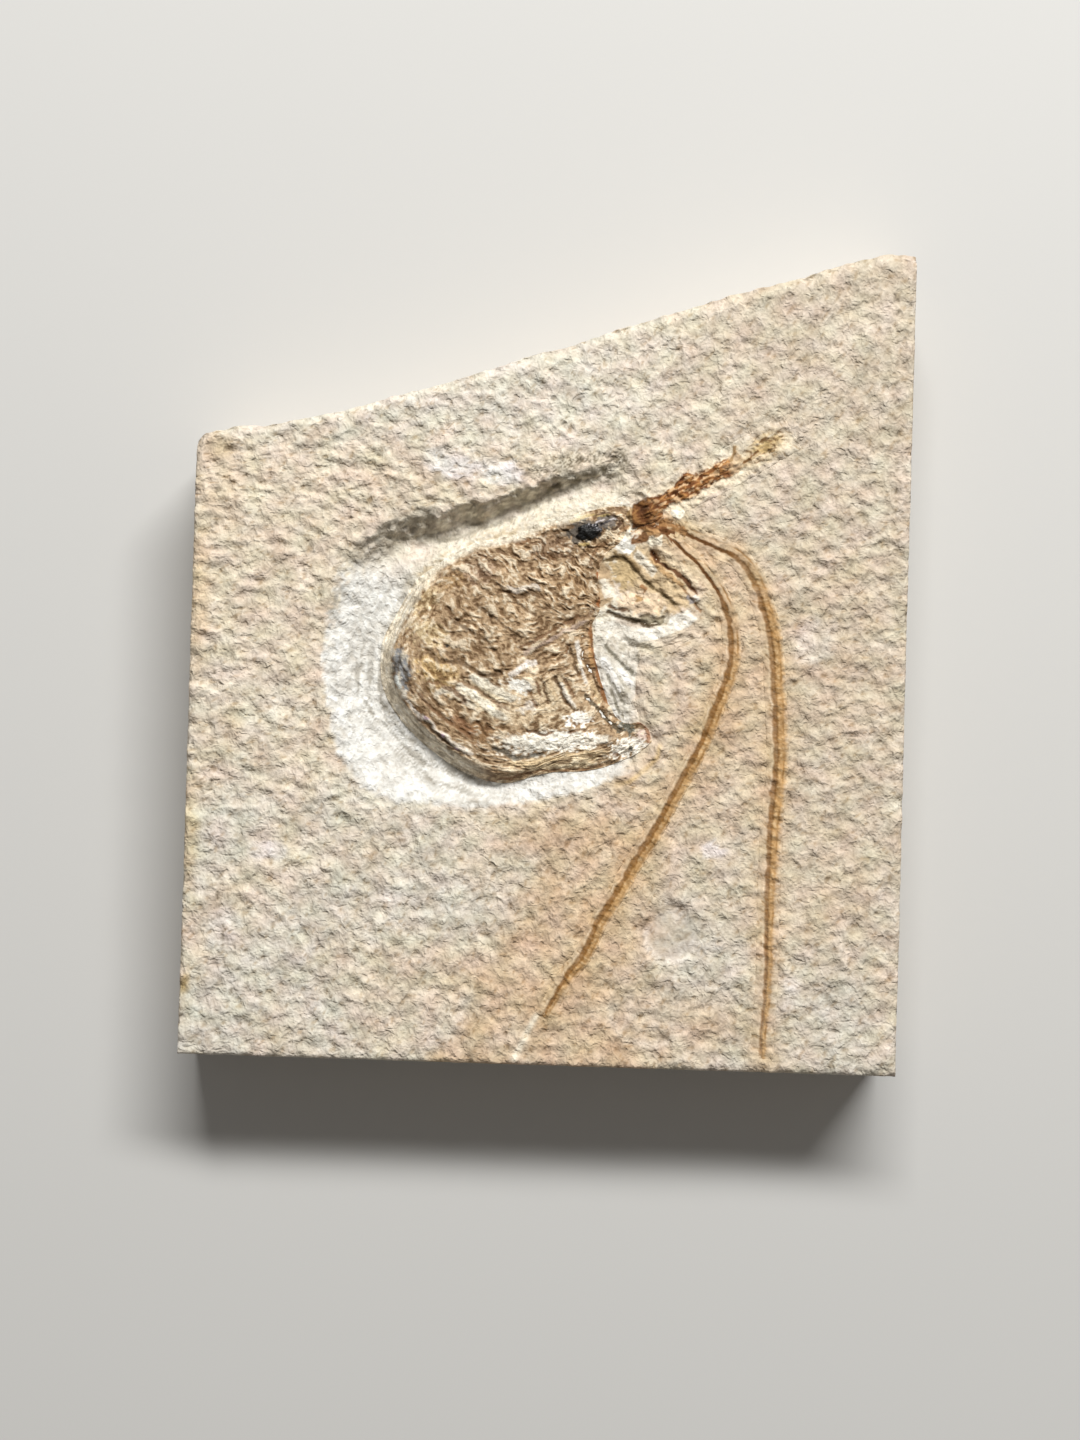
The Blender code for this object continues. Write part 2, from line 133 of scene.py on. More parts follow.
BELLY = [(11.6, 20.2), (11.0, 19.0), (10.4, 17.6), (9.6, 16.6), (8.6, 15.9), (7.8, 15.0),
         (7.2, 13.6), (6.9, 12.0), (6.9, 10.4), (7.2, 8.9), (7.4, 7.6), (7.2, 6.6), (6.7, 5.7),
         (6.3, 4.8), (6.3, 3.9), (6.4, 3.0), (6.5, 2.1), (6.6, 1.2), (6.7, 0.3), (6.9, -0.7),
         (7.2, -1.7), (7.5, -2.7), (7.8, -3.7), (8.1, -4.6), (8.4, -5.4), (8.7, -6.2),
         (9.0, -7.0), (9.4, -7.7), (9.8, -8.4), (10.3, -9.1), (11.2, -9.8), (12.4, -10.0),
         (13.8, -9.8), (15.2, -10.8)]
SHELL_STATIONS, SHELL_ACROSS = 460, 160


def smooth(value):
    """Cubic step 3v^2 - 2v^3 between 0 and 1, level outside."""
    v = np.clip(value, 0.0, 1.0)
    return v * v * (3.0 - 2.0 * v)


def grain(x, y, seed=0):
    """Slope noise: each whole-number point has a tilt of its own, and a point between four
    of them blends the four tilted planes with 6t^5 - 15t^4 + 10t^3 each way; about -1 to 1."""
    xi, yi = np.floor(x), np.floor(y)
    fx, fy = x - xi, y - yi
    bx, by = (f ** 3 * (f * (6.0 * f - 15.0) + 10.0) for f in (fx, fy))
    total = 0.0
    for cx in (0, 1):
        for cy in (0, 1):
            turn = np.sin((xi + cx) * 127.1 + (yi + cy) * 311.7 + seed * 74.7) * 43758.5453
            turn = (turn - np.floor(turn)) * 2.0 * math.pi
            slope = np.cos(turn) * (fx - cx) + np.sin(turn) * (fy - cy)
            total = total + slope * np.abs(1 - cx - bx) * np.abs(1 - cy - by)
    return total * 1.5


def layers(x, y, seed=0, count=3):
    """Sum of grain at doubling pitch and halving height."""
    return sum(grain(x * 2 ** k, y * 2 ** k, seed + 9 * k) / 2 ** k for k in range(count))


def turned(x, y, degrees, along, across):
    """Coordinates along and across a direction, each divided by its own pitch."""
    a = math.radians(degrees)
    u = x * math.cos(a) + y * math.sin(a)
    v = y * math.cos(a) - x * math.sin(a)
    return u / along, v / across


def curve(points, count):
    """Catmull-Rom curve through the points, count + 1 samples spread over its own points."""
    pts = np.array(points, float)
    ext = np.vstack([2 * pts[0] - pts[1], pts, 2 * pts[-1] - pts[-2]])
    at = np.linspace(0.0, len(pts) - 1.0, count + 1)
    i = np.minimum(at.astype(int), len(pts) - 2)
    t = (at - i)[:, None]
    p0, p1, p2, p3 = (ext[i + k] for k in range(4))
    return 0.5 * (2 * p1 + (p2 - p0) * t + (2 * p0 - 5 * p1 + 4 * p2 - p3) * t * t
                  + (3 * p1 - p0 - 3 * p2 + p3) * t ** 3)


def lengths(path):
    """Length along a path at each of its points."""
    return np.concatenate([[0.0], np.cumsum(np.hypot(*np.diff(path, axis=0).T))])


def reach(path, x, y):
    """Distance to an open path, and the share of its length at the nearest point."""
    steps = np.diff(path, axis=0)
    runs = np.hypot(*steps.T)
    starts = lengths(path)
    near, share = np.full(x.shape, 1e9), np.zeros(x.shape)
    for (ax, ay), (dx, dy), run, start in zip(path, steps, runs, starts):
        t = np.clip(((x - ax) * dx + (y - ay) * dy) / (run * run), 0.0, 1.0)
        d = np.hypot(x - ax - t * dx, y - ay - t * dy)
        share = np.where(d < near, (start + t * run) / starts[-1], share)
        near = np.minimum(near, d)
    return near, share


def inward(ring, x, y):
    """Signed distance to a closed outline, positive inside (crossing rule)."""
    closed = np.vstack([ring, ring[:1]])
    near, _ = reach(closed, x, y)
    crossings = np.zeros(x.shape, int)
    for (ax, ay), (bx, by) in zip(closed[:-1], closed[1:]):
        if ay != by:
            crossings += ((ay > y) != (by > y)) & (x < ax + (y - ay) * (bx - ax) / (by - ay))
    return np.where(crossings % 2 == 1, near, -near)


def stroke(path, x, y, width, fade=0.12):
    """Soft brush along a path: exp(-(distance/width)^2), faded at both ends."""
    d, share = reach(np.array(path, float), x, y)
    ends = smooth(share / fade) * smooth((1.0 - share) / fade) if fade else 1.0
    return np.exp(-(d / width) ** 2) * ends


def spot(x, y, at, size, degrees=0.0, edge=0.5):
    """Soft oval patch: 1 inside, falling to 0 over the share edge of its half sizes."""
    u, v = turned(x - at[0], y - at[1], degrees, size[0], size[1])
    return smooth((1.0 - np.hypot(u, v)) / edge)


RIM_RING = curve(RIM + RIM[:1], 3 * len(RIM))[:-1]
BACK_LINE, BELLY_LINE = curve(BACK, SHELL_STATIONS), curve(BELLY, SHELL_STATIONS)
BODY_RING = np.vstack([curve(BACK, 90), curve(BELLY, 60)[::-1]])
WALL_DEPTH, SLOPE_DEPTH, BED_DEPTH = 3.9, 3.0, 0.55
# hair cracks, the narrow groove at the bottom edge, the nicked stretch of the lip, the crease
# where the wall meets the floor (nicks and crease are also painted dark as shade), and the
# gold stain round the tail
CRACKS = [[(-23.8, -29.4), (-19.9, -30.1)], [(-22.6, -38.3), (-18.7, -39.1), (-13.0, -37.1)],
          [(-10.3, -36.8), (-7.4, -37.6), (-4.6, -40.1)], [(-45.5, -27.7), (-41.8, -29.2)],
          [(15.4, -38.7), (17.4, -37.2), (19.6, -36.9), (22.6, -37.8), (24.6, -40.2)],
          [(11.2, -52.4), (13.4, -51.8), (16.6, -52.6)]]
BOTTOM_GROOVE = [(0.0, -54.2), (-1.5, -57.2), (-3.0, -60.6)]
FRAYED_LIP = [(-5.0, 26.4), (-0.8, 27.7), (2.9, 28.9), (6.6, 29.6), (9.6, 29.4), (12.2, 28.2)]
WALL_FOOT = [(-26.6, 15.9), (-22.5, 16.7), (-19.3, 17.2), (-16.0, 16.6), (-13.8, 17.4), (-11.7, 18.3),
             (-7.8, 19.7), (-4.6, 21.0)]
TAIL_RIM = [(17.0, -12.2), (16.6, -14.6), (15.0, -16.8), (12.4, -18.6), (9.6, -19.6)]
# shallow dishes: centre, half sizes, depth, cover of their dust and of the painted light and
# shade on their rims
DISHES = [((19.7, -41.5), (4.1, 4.0), 0.26, 0.52), ((16.5, -53.5), (5.8, 4.6), 0.12, 0.26)]
# rows of pinpricks along the sawn edges with their scarcity, and larger specks with their size
MARGIN_LINES = [([(-50.6, 26.0), (-50.2, 0.0), (-50.1, -31.0)], 0.2),
                ([(-48.7, -35.3), (-47.6, -42.0), (-45.7, -54.9)], 0.0),
                ([(50.1, 56.0), (50.8, 36.0), (51.4, 15.7)], 0.1)]
SPECKS = [((-50.1, -29.5), 0.55), ((50.1, 54.7), 0.45), ((50.3, 52.6), 0.35), ((-47.4, -44.0), 0.35)]
# violet-white stains: centre, half sizes, strength
LILAC_SPOTS = [((-15.0, 28.0), (5.8, 2.9), 1.0), ((-7.8, 26.8), (4.4, 2.3), 1.0),
               ((-41.0, -30.6), (4.0, 1.6), 0.7), ((-47.6, -43.0), (3.4, 5.0), 0.6),
               ((25.5, -28.5), (2.6, 1.2), 0.8), ((39.5, 3.0), (4.0, 5.0), 0.35),
               ((36.5, -50.0), (2.5, 5.0), 0.5)]


def hollow(x, y):
    """Depth of the prepared trench. w runs from 0 at its lip to 1 at the shrimp's outline:
    the upper side falls as a wall and rises again, the left and lower sides slope down to
    the outline, and the right side is only a shallow bed. Returns the depth, w, the distance
    in from the lip, the distance out from the shrimp, and the shares (0 to 1) by which a
    point belongs to the upper side and to the open right side."""
    wx = x + 0.50 * grain(x / 2.1, y / 2.1, 3) + 0.30 * grain(x / 0.9, y / 0.9, 4)
    wy = y + 0.50 * grain(x / 2.1, y / 2.1, 5) + 0.30 * grain(x / 0.9, y / 0.9, 6)
    lip = np.maximum(inward(RIM_RING, wx, wy), 0.0)
    gap = np.maximum(-inward(BODY_RING, x, y), 0.0)
    w = lip / (lip + gap + 1e-6)
    upper = smooth((y + 0.35 * x + 1.0) / 8.0)
    high = smooth((y - 22.0) / 3.0)
    opened = smooth((x - 9.5 + 1.5 * high) / (5.0 - 2.2 * high))
    torn = w + 0.09 * (1.0 - w) * smooth(w / 0.08) * grain(x / 1.3, y / 1.1, 7)
    bulge = spot(x, y, (-17.0, 19.0), (9.0, 8.0), 20.0, 0.9)
    wall = smooth(torn / (0.40 + 0.12 * bulge))
    wall = wall * (1.0 - 0.62 * smooth((torn - 0.45 - 0.15 * bulge) / 0.5))
    wall = wall * (1.0 - 0.50 * smooth((x + 5.0) / 11.0) - 0.30 * smooth((-x - 19.0) / 7.0))
    slope = smooth(w / 0.85) * (1.0 - 0.72 * smooth((x + 13.0) / 15.0))
    deep = WALL_DEPTH * wall * upper + SLOPE_DEPTH * slope * (1.0 - upper)
    shallow = BED_DEPTH * smooth(lip / 2.0)
    return deep * (1.0 - opened) + shallow * opened, w, lip, gap, upper, opened


def terrace(value, riser=0.38):
    """Staircase of a slow field: level treads with a soft riser over the last share."""
    tread = np.floor(value)
    return tread + smooth((value - tread - 1.0 + riser) / riser)


def dashes(x, y):
    """Short dark pits that lie mostly down to the right: 1 in a pit, 0 outside."""
    bend = 0.5 * grain(x / 2.4, y / 2.4, 25)
    u, v = turned(x + bend, y + bend, -34.0, 1.5, 0.62)
    falling = smooth((grain(u, v, 18) - 0.42) / 0.28)
    u, v = turned(x - bend, y + bend, 18.0, 1.4, 0.60)
    return np.maximum(falling, smooth((grain(u, v, 19) - 0.52) / 0.28))


def rock_skin(x, y, calm=0.0):
    """Split surface of bedded rock: flakes that end in thin steps, falling to the right,
    with rounded grains and slow swells. calm (0 to 1) flattens the grains."""
    bend = 0.9 * grain(x / 4.2, y / 4.2, 11)
    u, v = turned(x + bend, y + 0.6 * bend, -36.0, 2.5, 1.65)
    flake = terrace(2.3 * (grain(u, v, 12) + 0.45 * grain(1.9 * u, 1.9 * v, 13)), 0.65)
    u, v = turned(x - bend, y + bend, 28.0, 1.8, 1.35)
    chip = terrace(1.5 * grain(u, v, 14), 0.55)
    z = 0.145 * flake + 0.105 * chip + 0.22 * grain(x / 1.05, y / 1.4, 15)
    z = z - 0.13 * dashes(x, y)
    z = z * (1.0 - 0.50 * calm) + (0.12 - 0.06 * calm) * grain(x / 2.2, y / 2.9, 16)
    return z + (0.24 - 0.12 * calm) * grain(x / 4.8, y / 6.2, 17)


def margin_pits(x, y):
    """Rows of pinpricks a little inside the sawn edges, and a few larger dark specks."""
    mask = 0.0 * x
    for path, level in MARGIN_LINES:
        d, _ = reach(np.array(path), x + 0.5 * grain(x / 3.0, y / 3.0, 33), y)
        dots = smooth((grain(x / 3.0, y / 0.8, 34) - level) / 0.25)
        mask = np.maximum(mask, np.exp(-(d / 0.22) ** 2) * dots)
    for at, size in SPECKS:
        mask = np.maximum(mask, spot(x, y, at, (size, size), 0.0, 0.6))
    return mask


def frayed(x, y):
    """Short slanting nicks along the lip above the wall: 1 in a nick, 0 elsewhere."""
    nick = smooth((grain(*turned(x, y, -38.0, 1.3, 0.44), 36) + 0.04) / 0.26)
    return nick * np.minimum(1.25 * stroke(FRAYED_LIP, x, y, 1.3, 0.15), 1.0)


def face_height(x, y):
    """Height of the rock: slow swells, flakes, the trench with its scraping marks, dishes."""
    deep, w, lip, gap, upper, opened = hollow(x, y)
    z = FACE_Z + 0.25 * (np.sin(x / 11.0 + 0.6) * np.cos(y / 14.0 - 0.4) - 0.4)
    scraped = smooth(lip / 1.2) * smooth(gap / 0.5) * (1.0 - opened)
    at, size = DISHES[0][:2]
    calm = np.maximum(scraped, 1.2 * spot(x, y, at, size, 0.0, 0.15))
    for at, size, amount in LILAC_SPOTS:
        calm = np.maximum(calm, amount * spot(x, y, at, size, -10.0, 0.6))
    z += rock_skin(x, y, calm) - 0.05
    lower = (1.0 - upper) * (1.0 - opened) * smooth((6.0 - gap) / 2.0) * scraped
    comb = np.sin(gap * 7.0 + 1.8 * grain(x / 3.0, y / 3.0, 21))
    z += 0.09 * comb * lower * smooth(0.5 + grain(x / 4.0, y / 4.0, 22))
    wall = upper * (1.0 - opened) * smooth(w / 0.1) * smooth((0.6 - w) / 0.2)
    streak = grain(*turned(x, y, 24.0, 3.4, 0.9), 23)
    z += wall * (0.34 * streak + 0.22 * grain(x / 1.3, y / 0.9, 24))
    for at, size, drop, _ in DISHES:
        r = np.hypot((x - at[0]) / size[0], (y - at[1]) / size[1])
        r = r + 0.04 * grain(x / 1.3, y / 1.3, 26)
        z -= drop * smooth((1.0 - r) / 0.16) + 0.6 * drop * np.exp(-((r - 1.05) / 0.10) ** 2)
    for path in CRACKS:
        wobble = 0.3 * grain(x / 1.3, y / 1.3, 31)
        z -= 0.22 * stroke(path, x, y + wobble, 0.28)
    z -= 0.10 * stroke(BOTTOM_GROOVE, x, y, 0.35) + 0.12 * margin_pits(x, y)
    z -= 0.25 * frayed(x, y)
    z -= 0.20 * stroke(WALL_FOOT, x, y, 0.34)
    return z - deep


FRONT_LEFT = [(6.6, -10.6), (5.6, -6.0), (4.8, 0.0), (4.6, 6.0), (4.8, 12.0), (6.0, 16.0),
              (9.2, 19.6), (10.0, 22.6)]
FRONT_RIGHT = [(14.6, -10.6), (13.6, -6.0), (14.6, 0.0), (23.4, 3.2), (26.2, 8.0), (25.8, 12.0),
               (23.0, 17.0), (19.6, 22.6)]
BEAK_AXIS = [(9.6, 20.6), (14.4, 22.3), (19.6, 25.2), (25.0, 28.1), (30.0, 31.2), (35.4, 34.6)]
BEAK_HALF = 3.3
INNER_ANTENNA = [(17.1, 18.9), (17.9, 17.7), (19.1, 16.5), (21.2, 14.6), (23.0, 12.6), (24.8, 10.2),
                 (25.9, 8.1), (26.7, 5.9), (27.0, 3.7), (27.2, 1.3), (27.1, -0.8), (26.0, -4.7),
                 (24.5, -8.8), (23.2, -12.4), (21.5, -16.0), (19.8, -19.3), (18.0, -23.0),
                 (16.0, -26.9), (13.8, -30.5), (11.3, -35.2), (8.8, -39.4), (6.6, -44.6),
                 (4.1, -48.1), (2.0, -52.1), (0.7, -54.6)]
OUTER_ANTENNA = [(16.8, 20.4), (18.8, 19.1), (20.7, 18.2), (22.4, 17.4), (25.0, 16.5), (27.2, 15.6),
                 (28.4, 14.6), (29.6, 13.0), (30.7, 11.3), (31.6, 8.5), (32.3, 6.4), (32.9, 4.4),
                 (33.4, 1.4), (33.8, -3.0), (34.2, -8.2), (34.5, -13.0), (34.5, -17.2),
                 (34.2, -21.2), (33.9, -26.0), (33.9, -31.0), (33.8, -36.0), (33.9, -41.0),
                 (34.0, -46.0), (33.9, -51.0), (33.6, -56.0), (33.7, -59.8)]
ANTENNA_HALF = (1.7, 2.0)
FRONT_RING = np.vstack([curve(FRONT_RIGHT, 40), curve(FRONT_LEFT, 40)[::-1]])


def under_film(x, y):
    """1 where one of the thin fossil layers lies in the rock, 0 outside, soft between."""
    mask = smooth((inward(FRONT_RING, x, y) - 0.5) / 0.6)
    for path, half in ((BEAK_AXIS, BEAK_HALF), (INNER_ANTENNA, ANTENNA_HALF[0]),
                       (OUTER_ANTENNA, ANTENNA_HALF[1])):
        d, share = reach(curve(path, 80), x, y)
        ends = smooth((share - 0.01) / 0.01) * smooth((0.99 - share) / 0.01)
        mask = np.maximum(mask, smooth((half - 0.4 - d) / 0.5) * ends)
    return mask


def spread(*stops):
    """Line positions: stops are (position, step up to the next position)."""
    lines = []
    for (low, step), (high, _) in zip(stops[:-1], stops[1:]):
        lines.append(np.linspace(low, high, max(1, round((high - low) / step)), endpoint=False))
    return np.concatenate(lines + [[stops[-1][0]]])


def edge_loop(rows, cols):
    """Indices round the edge of a grid of points, each once."""
    index = np.arange(rows * cols).reshape(rows, cols)
    return np.concatenate([index[:, 0], index[-1, 1:], index[-2::-1, -1], index[0, -2:0:-1]])


def piece_of(name, points, quads, caps, tint, material):
    """Object at the origin from points in millimetres: four-sided faces, then flat caps as
    loops of points, shaded smooth, with tint (colour and grit of each point) as attribute."""
    corners = np.concatenate([quads.ravel()] + caps)
    cap_starts = quads.size + np.cumsum([0] + [len(cap) for cap in caps[:-1]])
    starts = np.concatenate([4 * np.arange(len(quads)), cap_starts])
    mesh = bpy.data.meshes.new(name)
    mesh.vertices.add(len(points))
    mesh.vertices.foreach_set("co", (points * MM).astype(np.float32).ravel())
    mesh.loops.add(len(corners))
    mesh.loops.foreach_set("vertex_index", corners.astype(np.int32))
    mesh.polygons.add(len(starts))
    mesh.polygons.foreach_set("loop_start", starts.astype(np.int32))
    mesh.polygons.foreach_set("use_smooth", np.ones(len(starts), bool))
    mesh.update(calc_edges=True)
    layer = mesh.attributes.new("tint", "FLOAT_COLOR", "POINT")
    layer.data.foreach_set("color", tint.astype(np.float32).ravel())
    mesh.materials.append(material)
    piece = bpy.data.objects.new(name, mesh)
    bpy.context.scene.collection.objects.link(piece)
    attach(piece, "root")
    return piece


def solid(name, top, rings, material, tint, ring_tints=None, grit=None):
    """Closed body: top is a grid of points seen from above, rings go down from its edge, and
    one flat face closes the last ring. tint gives linear colours per point of the grid, grit
    (in the fourth channel) how strongly the fine grain shows there."""
    rows, cols = top.shape[:2]
    index = np.arange(rows * cols).reshape(rows, cols)
    quads = np.stack([index[:-1, :-1], index[1:, :-1], index[1:, 1:], index[:-1, 1:]], -1)
    edge = edge_loop(rows, cols)
    faces, above = [quads.reshape(-1, 4)], edge
    for k in range(len(rings)):
        here = rows * cols + k * len(edge) + np.arange(len(edge))
        faces.append(np.stack([here, np.roll(here, -1), np.roll(above, -1), above], -1))
        above = here
    points = np.concatenate([top.reshape(-1, 3)] + rings)
    sides = ring_tints or [tint.reshape(-1, 3)[edge]] * len(rings)
    full = np.ones((len(points), 4))
    full[:, :3] = np.concatenate([tint.reshape(-1, 3)] + sides)
    if grit is not None:
        full[:grit.size, 3] = grit.ravel()
    return piece_of(name, points, np.concatenate(faces), [above[::-1]], full, material)


def coat(colour, like):
    """One colour for every point of a grid."""
    return np.zeros(like.shape + (3,)) + np.array(colour)


def paint(colours, colour, mask):
    """Mix a colour over the colours by a mask."""
    return colours + (np.array(colour) - colours) * np.clip(mask, 0.0, 1.0)[..., None]


def math_node(nodes, links, operation, *values):
    """A Math node with sockets or plain numbers on its inputs; returns its output."""
    node = nodes.new("ShaderNodeMath")
    node.operation = operation
    for socket, value in zip(node.inputs, values):
        if isinstance(value, (int, float)):
            socket.default_value = value
        else:
            links.new(value, socket)
    return node.outputs[0]


def noise_node(nodes, links, vector, scale, detail, rough=0.5, bend=0.0):
    """A Noise Texture on the given coordinates; returns its grey output."""
    node = nodes.new("ShaderNodeTexNoise")
    node.inputs["Scale"].default_value = scale
    node.inputs["Detail"].default_value = detail
    node.inputs["Roughness"].default_value = rough
    node.inputs["Distortion"].default_value = bend
    links.new(vector, node.inputs["Vector"])
    return node.outputs["Fac"]


def stone_grain_group():
    """Group: Height of rounded grains with short pits between them, and Shade, a colour
    multiplier: painted light on the grains, painted warm brown shade in the pits, slow patches.
    Pitch is the size of a grain in millimetres; Contrast scales the swing of the shade."""
    group = bpy.data.node_groups.new("stone_grain", "ShaderNodeTree")
    for name, value in (("Pitch", 0.9), ("Contrast", 1.0)):
        socket = group.interface.new_socket(name, in_out="INPUT", socket_type="NodeSocketFloat")
        socket.default_value = value
    group.interface.new_socket("Height", in_out="OUTPUT", socket_type="NodeSocketFloat")
    group.interface.new_socket("Shade", in_out="OUTPUT", socket_type="NodeSocketColor")
    nodes, links = group.nodes, group.links
    enter, leave = nodes.new("NodeGroupInput"), nodes.new("NodeGroupOutput")
    place = nodes.new("ShaderNodeTexCoord")

    def laid(degrees, scale):
        """Object coordinates turned by degrees, scaled per metre and divided by the pitch."""
        lay = nodes.new("ShaderNodeMapping")
        lay.inputs["Rotation"].default_value = (0.0, 0.0, math.radians(degrees))
        lay.inputs["Scale"].default_value = scale
        links.new(place.outputs["Object"], lay.inputs["Vector"])
        shrink = nodes.new("ShaderNodeVectorMath")
        shrink.operation = "SCALE"
        links.new(lay.outputs["Vector"], shrink.inputs[0])
        per_mm = math_node(nodes, links, "DIVIDE", 1.0, enter.outputs["Pitch"])
        links.new(per_mm, shrink.inputs["Scale"])
        return shrink.outputs["Vector"]

    at = laid(20.0, (1120.0, 860.0, 1000.0))
    grains = noise_node(nodes, links, at, scale=1.25, detail=1.6, rough=0.62, bend=0.25)
    slanting = laid(34.0, (920.0, 1500.0, 1000.0))
    strands = noise_node(nodes, links, slanting, scale=1.0, detail=1.0, rough=0.5, bend=0.5)
    above = math_node(nodes, links, "SUBTRACT", strands, 0.55)
    pits = math_node(nodes, links, "SMOOTH_MAX", above, 0.0, 0.09)
    height = math_node(nodes, links, "MULTIPLY_ADD", pits, -1.1, grains)
    links.new(height, leave.inputs["Height"])
    patch = noise_node(nodes, links, at, scale=0.28, detail=3.0, rough=0.6)
    swing = math_node(nodes, links, "ADD", math_node(nodes, links, "MULTIPLY", height, 0.9), patch)
    centred = math_node(nodes, links, "SUBTRACT", swing, 0.88)
    fac = math_node(nodes, links, "MULTIPLY_ADD", centred, enter.outputs["Contrast"], 0.5)
    shade = nodes.new("ShaderNodeMix")
    shade.data_type = "RGBA"
    links.new(fac, shade.inputs["Factor"])
    # painted shade in the pits and painted light on the grains, by their height
    pit_shade_colour, grain_light_colour = (0.52, 0.455, 0.37, 1.0), (1.42, 1.46, 1.49, 1.0)
    shade_in = [socket for socket in shade.inputs if socket.type == "RGBA"]
    shade_in[0].default_value, shade_in[1].default_value = pit_shade_colour, grain_light_colour
    links.new([out for out in shade.outputs if out.type == "RGBA"][0], leave.inputs["Shade"])
    return group


STONE_GRAIN = stone_grain_group()


def stone(name, rough, pitch, contrast, bump_mm):
    """Material: the tint attribute, mottled by the stone grain, with painted light on its grains
    and painted shade in its pits, and with its height as bump. rough is the roughness, pitch
    the size of a grain and bump_mm its height in millimetres, contrast the swing of the
    mottling and of the painted light and shade."""
    mat = bpy.data.materials.new(name)
    mat.use_nodes = True
    nodes, links = mat.node_tree.nodes, mat.node_tree.links
    shader = nodes["Principled BSDF"]
    shader.inputs["Roughness"].default_value = rough
    shader.inputs["Specular IOR Level"].default_value = 0.25
    tint = nodes.new("ShaderNodeAttribute")
    tint.attribute_name = "tint"
    grains = nodes.new("ShaderNodeGroup")
    grains.node_tree = STONE_GRAIN
    grains.inputs["Pitch"].default_value = pitch
    grains.inputs["Contrast"].default_value = contrast
    shaded = nodes.new("ShaderNodeVectorMath")
    shaded.operation = "MULTIPLY"
    links.new(tint.outputs["Color"], shaded.inputs[0])
    links.new(grains.outputs["Shade"], shaded.inputs[1])
    links.new(shaded.outputs["Vector"], shader.inputs["Base Color"])
    bump = nodes.new("ShaderNodeBump")
    bump.inputs["Distance"].default_value = bump_mm * MM
    height = math_node(nodes, links, "MULTIPLY", grains.outputs["Height"], tint.outputs["Alpha"])
    links.new(height, bump.inputs["Height"])
    links.new(bump.outputs["Normal"], shader.inputs["Normal"])
    return mat


ROCK_PALE, ROCK_WARM, ROCK_COOL = (0.655, 0.575, 0.470), (0.60, 0.455, 0.315), (0.635, 0.595, 0.525)
CHALK, CREAM, OCHRE = (0.73, 0.725, 0.70), (0.80, 0.76, 0.65), (0.56, 0.41, 0.19)
LILAC, ASH = (0.76, 0.715, 0.69), (0.42, 0.40, 0.36)
FEELER_HALO = (0.59, 0.425, 0.25)
WARM_SPOTS = [((0.5, -28.0), (14.0, 12.0), 0.8), ((-4.0, -50.0), (17.0, 13.0), 0.8),
              ((14.0, -20.0), (13.0, 13.0), 0.8), ((26.0, -10.0), (14.0, 30.0), 0.9),
              ((42.0, 2.0), (16.0, 30.0), 0.45), ((26.0, -54.0), (9.0, 8.0), 0.8),
              ((44.0, -34.0), (12.0, 22.0), 0.4), ((-50.0, 24.0), (5.0, 9.0), 0.5),
              ((-2.0, -60.0), (18.0, 3.5), 0.7), ((29.0, -6.0), (6.0, 26.0), 0.6)]
OCHRE_SPOTS = [((-53.0, -51.0), (1.6, 1.8), 0.9), ((-52.8, -30.0), (1.8, 14.0), 0.45),
               ((-52.6, 8.0), (2.2, 16.0), 0.4), ((-50.6, 29.6), (4.0, 3.0), 0.35),
               ((-47.0, -12.0), (3.0, 5.0), 0.25)]


def dish_dust_and_painted_light(colours, x, y):
    """Grey dust in the shallow dishes, with a painted highlight on the rim below and painted
    shade on the rim above.
    """
    for at, size, _, cover in DISHES:
        r = np.hypot((x - at[0]) / size[0], (y - at[1]) / size[1]) + 0.04 * grain(x / 1.3, y / 1.3, 26)
        wrinkle = 0.6 + 0.8 * grain(*turned(x, y, -40.0, 1.6, 0.5), 39)
        colours = paint(colours, (0.57, 0.52, 0.465), cover * wrinkle * smooth((1.0 - r) / 0.12))
        low = smooth((at[1] - y - 0.4 * (x - at[0])) / size[1] + 0.35)
        lit = np.exp(-((r - 0.97) / 0.10) ** 2) * low
        # painted highlight on the lower rim
        colours = paint(colours, (0.84, 0.78, 0.70), 1.3 * cover * lit)
        high = smooth((y - at[1]) / size[1] + 0.1 + 1.2 * grain(x, y, 65))
        shaded = np.exp(-((r - 1.06) / 0.11) ** 2) * high
        # painted shade on the upper rim
        colours = paint(colours, (0.20, 0.155, 0.105), 1.4 * cover * shaded)
    return colours


